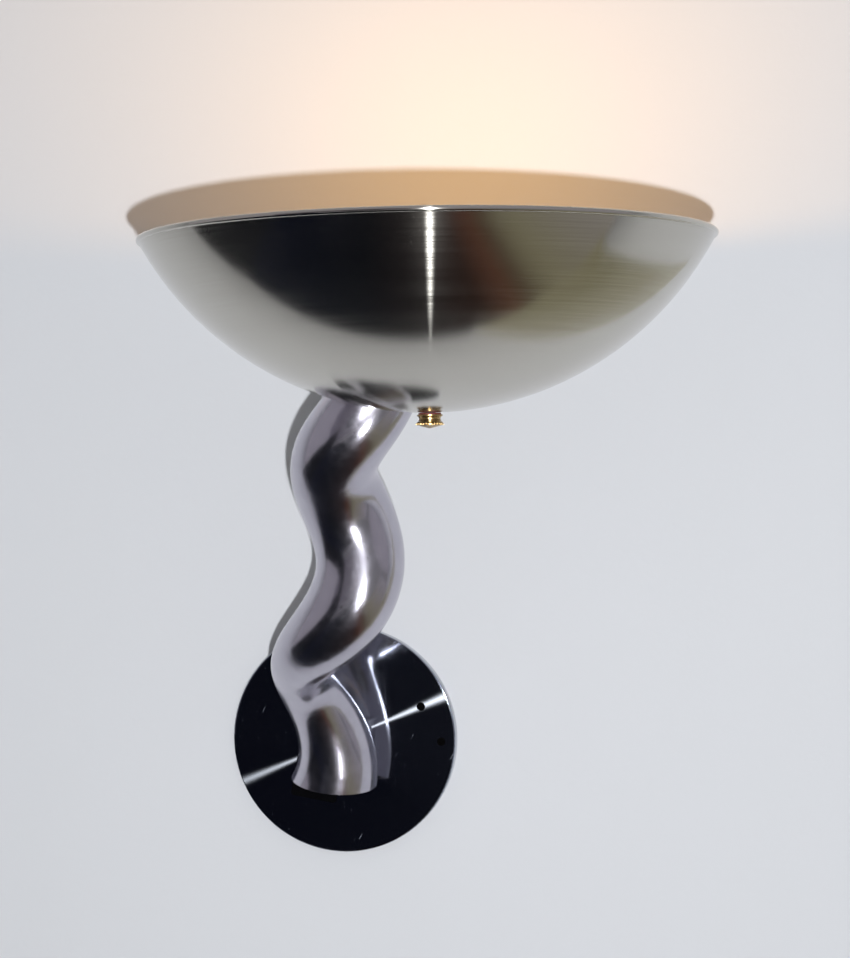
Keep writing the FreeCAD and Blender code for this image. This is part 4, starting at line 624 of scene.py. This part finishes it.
# ---- Lampholders
# Two holders of pressed steatite, a fired ceramic, each screwed to an ear of the carrier. Chalky off-white,
# unglazed, with fine dark specks and handling marks.
steatite, tree, place = blank_material("unglazed_steatite")
body = add(tree, "ShaderNodeTexNoise", {"Vector": place, "Scale": 1 / (4 * MM), "Detail": 4.0})
specks = add(tree, "ShaderNodeTexNoise", {"Vector": place, "Scale": 1 / (0.5 * MM), "Detail": 1.0})
speck = add(tree, "ShaderNodeMapRange",
            {"Value": specks.outputs[0], "From Min": 0.68, "From Max": 0.78, "To Max": 0.5})
tint = add(tree, "ShaderNodeMix", {0: body.outputs[0], 6: linear("#ddd7c6"), 7: linear("#efebdf")},
           data_type="RGBA")
tint = add(tree, "ShaderNodeMix", {0: speck.outputs[0], 6: tint.outputs[2], 7: linear("#8c8474")},
           data_type="RGBA")
shine = add(tree, "ShaderNodeMapRange", {"Value": body.outputs[0], "To Min": 0.5, "To Max": 0.72})
relief = add(tree, "ShaderNodeBump", {"Height": specks.outputs[0], "Strength": 0.35, "Distance": 0.05 * MM})
shader = add(tree, "ShaderNodeBsdfPrincipled",
             {"Base Color": tint.outputs[2], "Roughness": shine.outputs[0], "Normal": relief.outputs[0]})
dress(steatite, shader, "holder_left", "holder_right", "lamp_caps")


# ---- Contacts and their springs
# A turned plunger in each holder bears on the lamp's end, pushed by a small compression spring that is held
# between it and the holder's back wall. Brass with nickel plate, and bright drawn spring wire.
nickel, tree, place = blank_material("nickel_plated_contact")
lathe = add(tree, "ShaderNodeMapping", {0: place, "Scale": (1 / (0.25 * MM), 1 / (6 * MM), 1 / (6 * MM))})
rings = add(tree, "ShaderNodeTexNoise", {"Vector": lathe.outputs[0], "Scale": 1.0, "Detail": 1.0})
tint = add(tree, "ShaderNodeMix", {0: rings.outputs[0], 6: linear("#b9a98a"), 7: linear("#d6cbb2")},
           data_type="RGBA")
shine = add(tree, "ShaderNodeMapRange", {"Value": rings.outputs[0], "To Min": 0.22, "To Max": 0.36})
relief = add(tree, "ShaderNodeBump", {"Height": rings.outputs[0], "Strength": 0.25, "Distance": 0.03 * MM})
shader = add(tree, "ShaderNodeBsdfPrincipled", {"Base Color": tint.outputs[2], "Metallic": 1.0,
                                                "Roughness": shine.outputs[0], "Normal": relief.outputs[0]})
dress(nickel, shader, "contact_left", "contact_right")

wire_steel, tree, place = blank_material("drawn_spring_wire")
drawn = add(tree, "ShaderNodeTexNoise", {"Vector": place, "Scale": 1 / (0.4 * MM), "Detail": 2.0})
tint = add(tree, "ShaderNodeMix", {0: drawn.outputs[0], 6: linear("#8b8c90"), 7: linear("#b4b5b8")},
           data_type="RGBA")
shine = add(tree, "ShaderNodeMapRange", {"Value": drawn.outputs[0], "To Min": 0.22, "To Max": 0.38})
shader = add(tree, "ShaderNodeBsdfPrincipled",
             {"Base Color": tint.outputs[2], "Metallic": 1.0, "Roughness": shine.outputs[0]})
add(tree, "ShaderNodeOutputMaterial", {"Surface": shader.outputs[0]})

# One tree winds every coil on the lamp: round wire on a helix along X, with an optional straight tail at
# each end. The springs have just under five turns, and the filament below uses the same tree with eighty.
coil, given, result = new_tree("wound_coil", [
    ("Turns", "Float"), ("Points Per Turn", "Int"), ("Coil Radius", "Float"), ("Wire Radius", "Float"),
    ("Length", "Float"), ("Tail Length", "Float"), ("Wire Sides", "Int"), ("Middle", "Vector"),
    ("Finish", "Material")])
winding = add(coil, "GeometryNodeCurveSpiral",
              {"Resolution": given.outputs["Points Per Turn"], "Rotations": given.outputs["Turns"],
               "Start Radius": given.outputs["Coil Radius"], "End Radius": given.outputs["Coil Radius"],
               "Height": given.outputs["Length"]})
half = add(coil, "ShaderNodeMath", {0: given.outputs["Length"], 1: 0.5}, operation="MULTIPLY")
tail_end = add(coil, "ShaderNodeMath", {0: half.outputs[0], 1: given.outputs["Tail Length"]}, operation="ADD")
lines = []
for way in (-1.0, 1.0):
    near = add(coil, "ShaderNodeMath", {0: half.outputs[0], 1: way}, operation="MULTIPLY")
    far = add(coil, "ShaderNodeMath", {0: tail_end.outputs[0], 1: way}, operation="MULTIPLY")
    near = add(coil, "ShaderNodeCombineXYZ", {2: near.outputs[0]})
    far = add(coil, "ShaderNodeCombineXYZ", {2: far.outputs[0]})
    lines.append(add(coil, "GeometryNodeCurvePrimitiveLine",
                     {"Start": near.outputs[0], "End": far.outputs[0]}))
drop = add(coil, "ShaderNodeMath", {0: half.outputs[0], 1: -1.0}, operation="MULTIPLY")
drop = add(coil, "ShaderNodeCombineXYZ", {2: drop.outputs[0]})
centred = add(coil, "GeometryNodeTransform", {"Geometry": winding.outputs[0], "Translation": drop.outputs[0]})
joined = add(coil, "GeometryNodeJoinGeometry", {0: lines[0].outputs[0]})
coil.links.new(lines[1].outputs[0], joined.inputs[0])
has_tail = add(coil, "FunctionNodeCompare", {0: given.outputs["Tail Length"], 1: 0.0001 * MM},
               operation="GREATER_THAN")
tails = add(coil, "GeometryNodeSwitch", {0: has_tail.outputs[0], 2: joined.outputs[0]}, input_type="GEOMETRY")
paths = add(coil, "GeometryNodeJoinGeometry", {0: centred.outputs[0]})
coil.links.new(tails.outputs[0], paths.inputs[0])
section = add(coil, "GeometryNodeCurvePrimitiveCircle",
              {"Resolution": given.outputs["Wire Sides"], "Radius": given.outputs["Wire Radius"]})
wire = add(coil, "GeometryNodeCurveToMesh",
           {"Curve": paths.outputs[0], "Profile Curve": section.outputs[0], "Fill Caps": True})
laid = add(coil, "GeometryNodeTransform", {"Geometry": wire.outputs[0], "Rotation": (0, math.pi / 2, 0),
                                           "Translation": given.outputs["Middle"]})
smooth = add(coil, "GeometryNodeSetShadeSmooth", {"Geometry": laid.outputs[0]})
real = add(coil, "GeometryNodeRealizeInstances", {"Geometry": smooth.outputs[0]})
finished = add(coil, "GeometryNodeSetMaterial",
               {"Geometry": real.outputs[0], "Material": given.outputs["Finish"]})
coil.links.new(finished.outputs[0], result.inputs[0])

SPRING_WIRE_RADIUS = 0.34 * MM
SPRING_GAP = 0.05 * MM
for side_name, way in (("left", -1), ("right", 1)):
    low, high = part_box("contact_spring_" + side_name)
    length = high.x - low.x
    spring = grown("contact_coil_" + side_name, coil, {
        "Turns": 4.75, "Points Per Turn": 24, "Wire Radius": SPRING_WIRE_RADIUS, "Wire Sides": 8,
        "Coil Radius": (high.z - low.z) / 2 - SPRING_WIRE_RADIUS - SPRING_GAP,
        "Length": length - 2 * SPRING_WIRE_RADIUS - SPRING_GAP, "Tail Length": 0.0,
        "Middle": (low + high) / 2, "Finish": wire_steel}, "lamp_body")
    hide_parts("contact_spring_" + side_name)
    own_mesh(spring)


# ---- Lamp
# A linear halogen lamp of the 118 mm size, 114 mm over its caps: a tube of clear fused quartz, pinched and
# capped with ceramic at both ends, with a straight coiled tungsten filament along it.
PINCH_START = 36 * MM
PINCH_END = 41 * MM
quartz, tree, place = blank_material("clear_fused_quartz")
axes = add(tree, "ShaderNodeSeparateXYZ", {0: place})
middle = add(tree, "ShaderNodeMath", {0: axes.outputs[0], 1: BOWL_AXIS.x}, operation="SUBTRACT")
away = add(tree, "ShaderNodeMath", {0: middle.outputs[0]}, operation="ABSOLUTE")
frosted = add(tree, "ShaderNodeMapRange", {"Value": away.outputs[0], "From Min": PINCH_START,
                                           "From Max": PINCH_END, "To Min": 0.02, "To Max": 0.35})
drag = add(tree, "ShaderNodeMapping", {0: place, "Scale": (1 / (25 * MM), 1 / (1.2 * MM), 1 / (1.2 * MM))})
lines_drawn = add(tree, "ShaderNodeTexNoise", {"Vector": drag.outputs[0], "Scale": 1.0, "Detail": 1.0})
relief = add(tree, "ShaderNodeBump",
             {"Height": lines_drawn.outputs[0], "Strength": 0.15, "Distance": 0.03 * MM})
tint = add(tree, "ShaderNodeMix", {0: lines_drawn.outputs[0], 6: linear("#eef3f4"), 7: linear("#fbfdfd")},
           data_type="RGBA")
shader = add(tree, "ShaderNodeBsdfPrincipled",
             {"Base Color": tint.outputs[2], "Roughness": frosted.outputs[0], "IOR": 1.46,
              "Transmission Weight": 1.0, "Normal": relief.outputs[0]})
dress(quartz, shader, "lamp_tube")

# Tungsten: dull grey, slightly blued where it has run hot.
tungsten, tree, place = blank_material("coiled_tungsten_wire")
heat = add(tree, "ShaderNodeTexNoise", {"Vector": place, "Scale": 1 / (8 * MM), "Detail": 2.0})
tint = add(tree, "ShaderNodeMix", {0: heat.outputs[0], 6: linear("#6b6c74"), 7: linear("#96948f")},
           data_type="RGBA")
shine = add(tree, "ShaderNodeMapRange", {"Value": heat.outputs[0], "To Min": 0.35, "To Max": 0.5})
shader = add(tree, "ShaderNodeBsdfPrincipled",
             {"Base Color": tint.outputs[2], "Metallic": 1.0, "Roughness": shine.outputs[0]})
add(tree, "ShaderNodeOutputMaterial", {"Surface": shader.outputs[0]})

low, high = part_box("lamp_filament")
FILAMENT_LENGTH = 68.0 * MM
FILAMENT_WIRE_RADIUS = 0.17 * MM
FILAMENT_GAP = 0.02 * MM
filament = grown("filament_coil", coil, {
    "Turns": 80.0, "Points Per Turn": 12, "Wire Radius": FILAMENT_WIRE_RADIUS, "Wire Sides": 6,
    "Coil Radius": (high.z - low.z) / 2 - FILAMENT_WIRE_RADIUS - FILAMENT_GAP,
    "Length": FILAMENT_LENGTH, "Tail Length": (high.x - low.x - FILAMENT_LENGTH) / 2,
    "Middle": (low + high) / 2, "Finish": tungsten}, "lamp_body")
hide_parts("lamp_filament")


# ---- Reflector
# A tray folded from bright rolled aluminium, clamped on the stud under the lamp. The rolling leaves fine
# straight lines along it, so its reflections are sharper along the tray than across.
rolled, tree, place = blank_material("bright_rolled_aluminium")
roll = add(tree, "ShaderNodeMapping", {0: place, "Scale": (1 / (30 * MM), 1 / (0.5 * MM), 1 / (0.5 * MM))})
lines_rolled = add(tree, "ShaderNodeTexNoise", {"Vector": roll.outputs[0], "Scale": 1.0, "Detail": 2.0})
tint = add(tree, "ShaderNodeMix", {0: lines_rolled.outputs[0], 6: linear("#cfd0d2"), 7: linear("#e4e5e6")},
           data_type="RGBA")
shine = add(tree, "ShaderNodeMapRange", {"Value": lines_rolled.outputs[0], "To Min": 0.16, "To Max": 0.3})
relief = add(tree, "ShaderNodeBump",
             {"Height": lines_rolled.outputs[0], "Strength": 0.2, "Distance": 0.03 * MM})
across = add(tree, "ShaderNodeCombineXYZ", {1: 1.0, 2: 0.2})
shader = add(tree, "ShaderNodeBsdfPrincipled",
             {"Base Color": tint.outputs[2], "Metallic": 1.0, "Roughness": shine.outputs[0],
              "Anisotropic": 0.6, "Tangent": across.outputs[0], "Normal": relief.outputs[0]})
dress(rolled, shader, "reflector")


# ---- Inner leads
# Three leads run from the terminal block up the arm's hollow into the bowl: live and neutral to the
# holders, earth to the carrier. Heat-proof silicone sleeves, matt, in the usual wiring colours.
for name, dark, light, stripe in (("lead_live", "#3c2013", "#54301f", None),
                                  ("lead_neutral", "#173f86", "#2a58a6", None),
                                  ("lead_earth", "#3f7f24", "#57983a", "#d9c22a")):
    sleeve, tree, place = blank_material("silicone_sleeve_" + name)
    dull = add(tree, "ShaderNodeTexNoise", {"Vector": place, "Scale": 1 / (2 * MM), "Detail": 2.0})
    tint = add(tree, "ShaderNodeMix", {0: dull.outputs[0], 6: linear(dark), 7: linear(light)},
               data_type="RGBA")
    if stripe:
        # The yellow stripe follows the lead along the side that faces away from the wall.
        faces = add(tree, "ShaderNodeNewGeometry")
        turned_to = add(tree, "ShaderNodeVectorMath", {0: faces.outputs["Normal"], 1: (0.5, -0.6, 0.62)},
                        operation="DOT_PRODUCT")
        yellow = add(tree, "ShaderNodeMapRange",
                     {"Value": turned_to.outputs["Value"], "From Min": 0.5, "From Max": 0.56})
        tint = add(tree, "ShaderNodeMix", {0: yellow.outputs[0], 6: tint.outputs[2], 7: linear(stripe)},
                   data_type="RGBA")
    shine = add(tree, "ShaderNodeMapRange", {"Value": dull.outputs[0], "To Min": 0.45, "To Max": 0.6})
    shader = add(tree, "ShaderNodeBsdfPrincipled",
                 {"Base Color": tint.outputs[2], "Roughness": shine.outputs[0]})
    dress(sleeve, shader, name)


# ---- Finial and brass screws
# Under the bowl sit a red fibre washer, a thin collar and a knurled cap nut, turned from brass rod, and
# brass is also used for the terminal and earth screws. Lightly tarnished, with fine turning marks.
brass, tree, place = blank_material("turned_tarnished_brass")
lathe = add(tree, "ShaderNodeMapping", {0: place, "Scale": (1 / (8 * MM), 1 / (8 * MM), 1 / (0.22 * MM))})
rings = add(tree, "ShaderNodeTexNoise", {"Vector": lathe.outputs[0], "Scale": 1.0, "Detail": 1.0})
tarnish = add(tree, "ShaderNodeTexNoise", {"Vector": place, "Scale": 1 / (2.2 * MM), "Detail": 4.0})
stain = add(tree, "ShaderNodeMapRange", {"Value": tarnish.outputs[0], "From Min": 0.42, "From Max": 0.72})
tint = add(tree, "ShaderNodeMix", {0: stain.outputs[0], 6: linear("#b89c6c"), 7: linear("#84693f")},
           data_type="RGBA")
shine = add(tree, "ShaderNodeMapRange", {"Value": stain.outputs[0], "To Min": 0.2, "To Max": 0.4})
relief = add(tree, "ShaderNodeBump", {"Height": rings.outputs[0], "Strength": 0.3, "Distance": 0.03 * MM})
shader = add(tree, "ShaderNodeBsdfPrincipled", {"Base Color": tint.outputs[2], "Metallic": 1.0,
                                                "Roughness": shine.outputs[0], "Normal": relief.outputs[0]})
dress(brass, shader, "finial_collar", "finial_nut", "terminal_screws", "earth_screw")

fibre, tree, place = blank_material("red_vulcanised_fibre")
pulp = add(tree, "ShaderNodeTexNoise", {"Vector": place, "Scale": 1 / (0.5 * MM), "Detail": 3.0})
tint = add(tree, "ShaderNodeMix", {0: pulp.outputs[0], 6: linear("#55150f"), 7: linear("#7d2419")},
           data_type="RGBA")
relief = add(tree, "ShaderNodeBump", {"Height": pulp.outputs[0], "Strength": 0.4, "Distance": 0.05 * MM})
shader = add(tree, "ShaderNodeBsdfPrincipled",
             {"Base Color": tint.outputs[2], "Roughness": 0.62, "Normal": relief.outputs[0]})
dress(fibre, shader, "finial_washer")
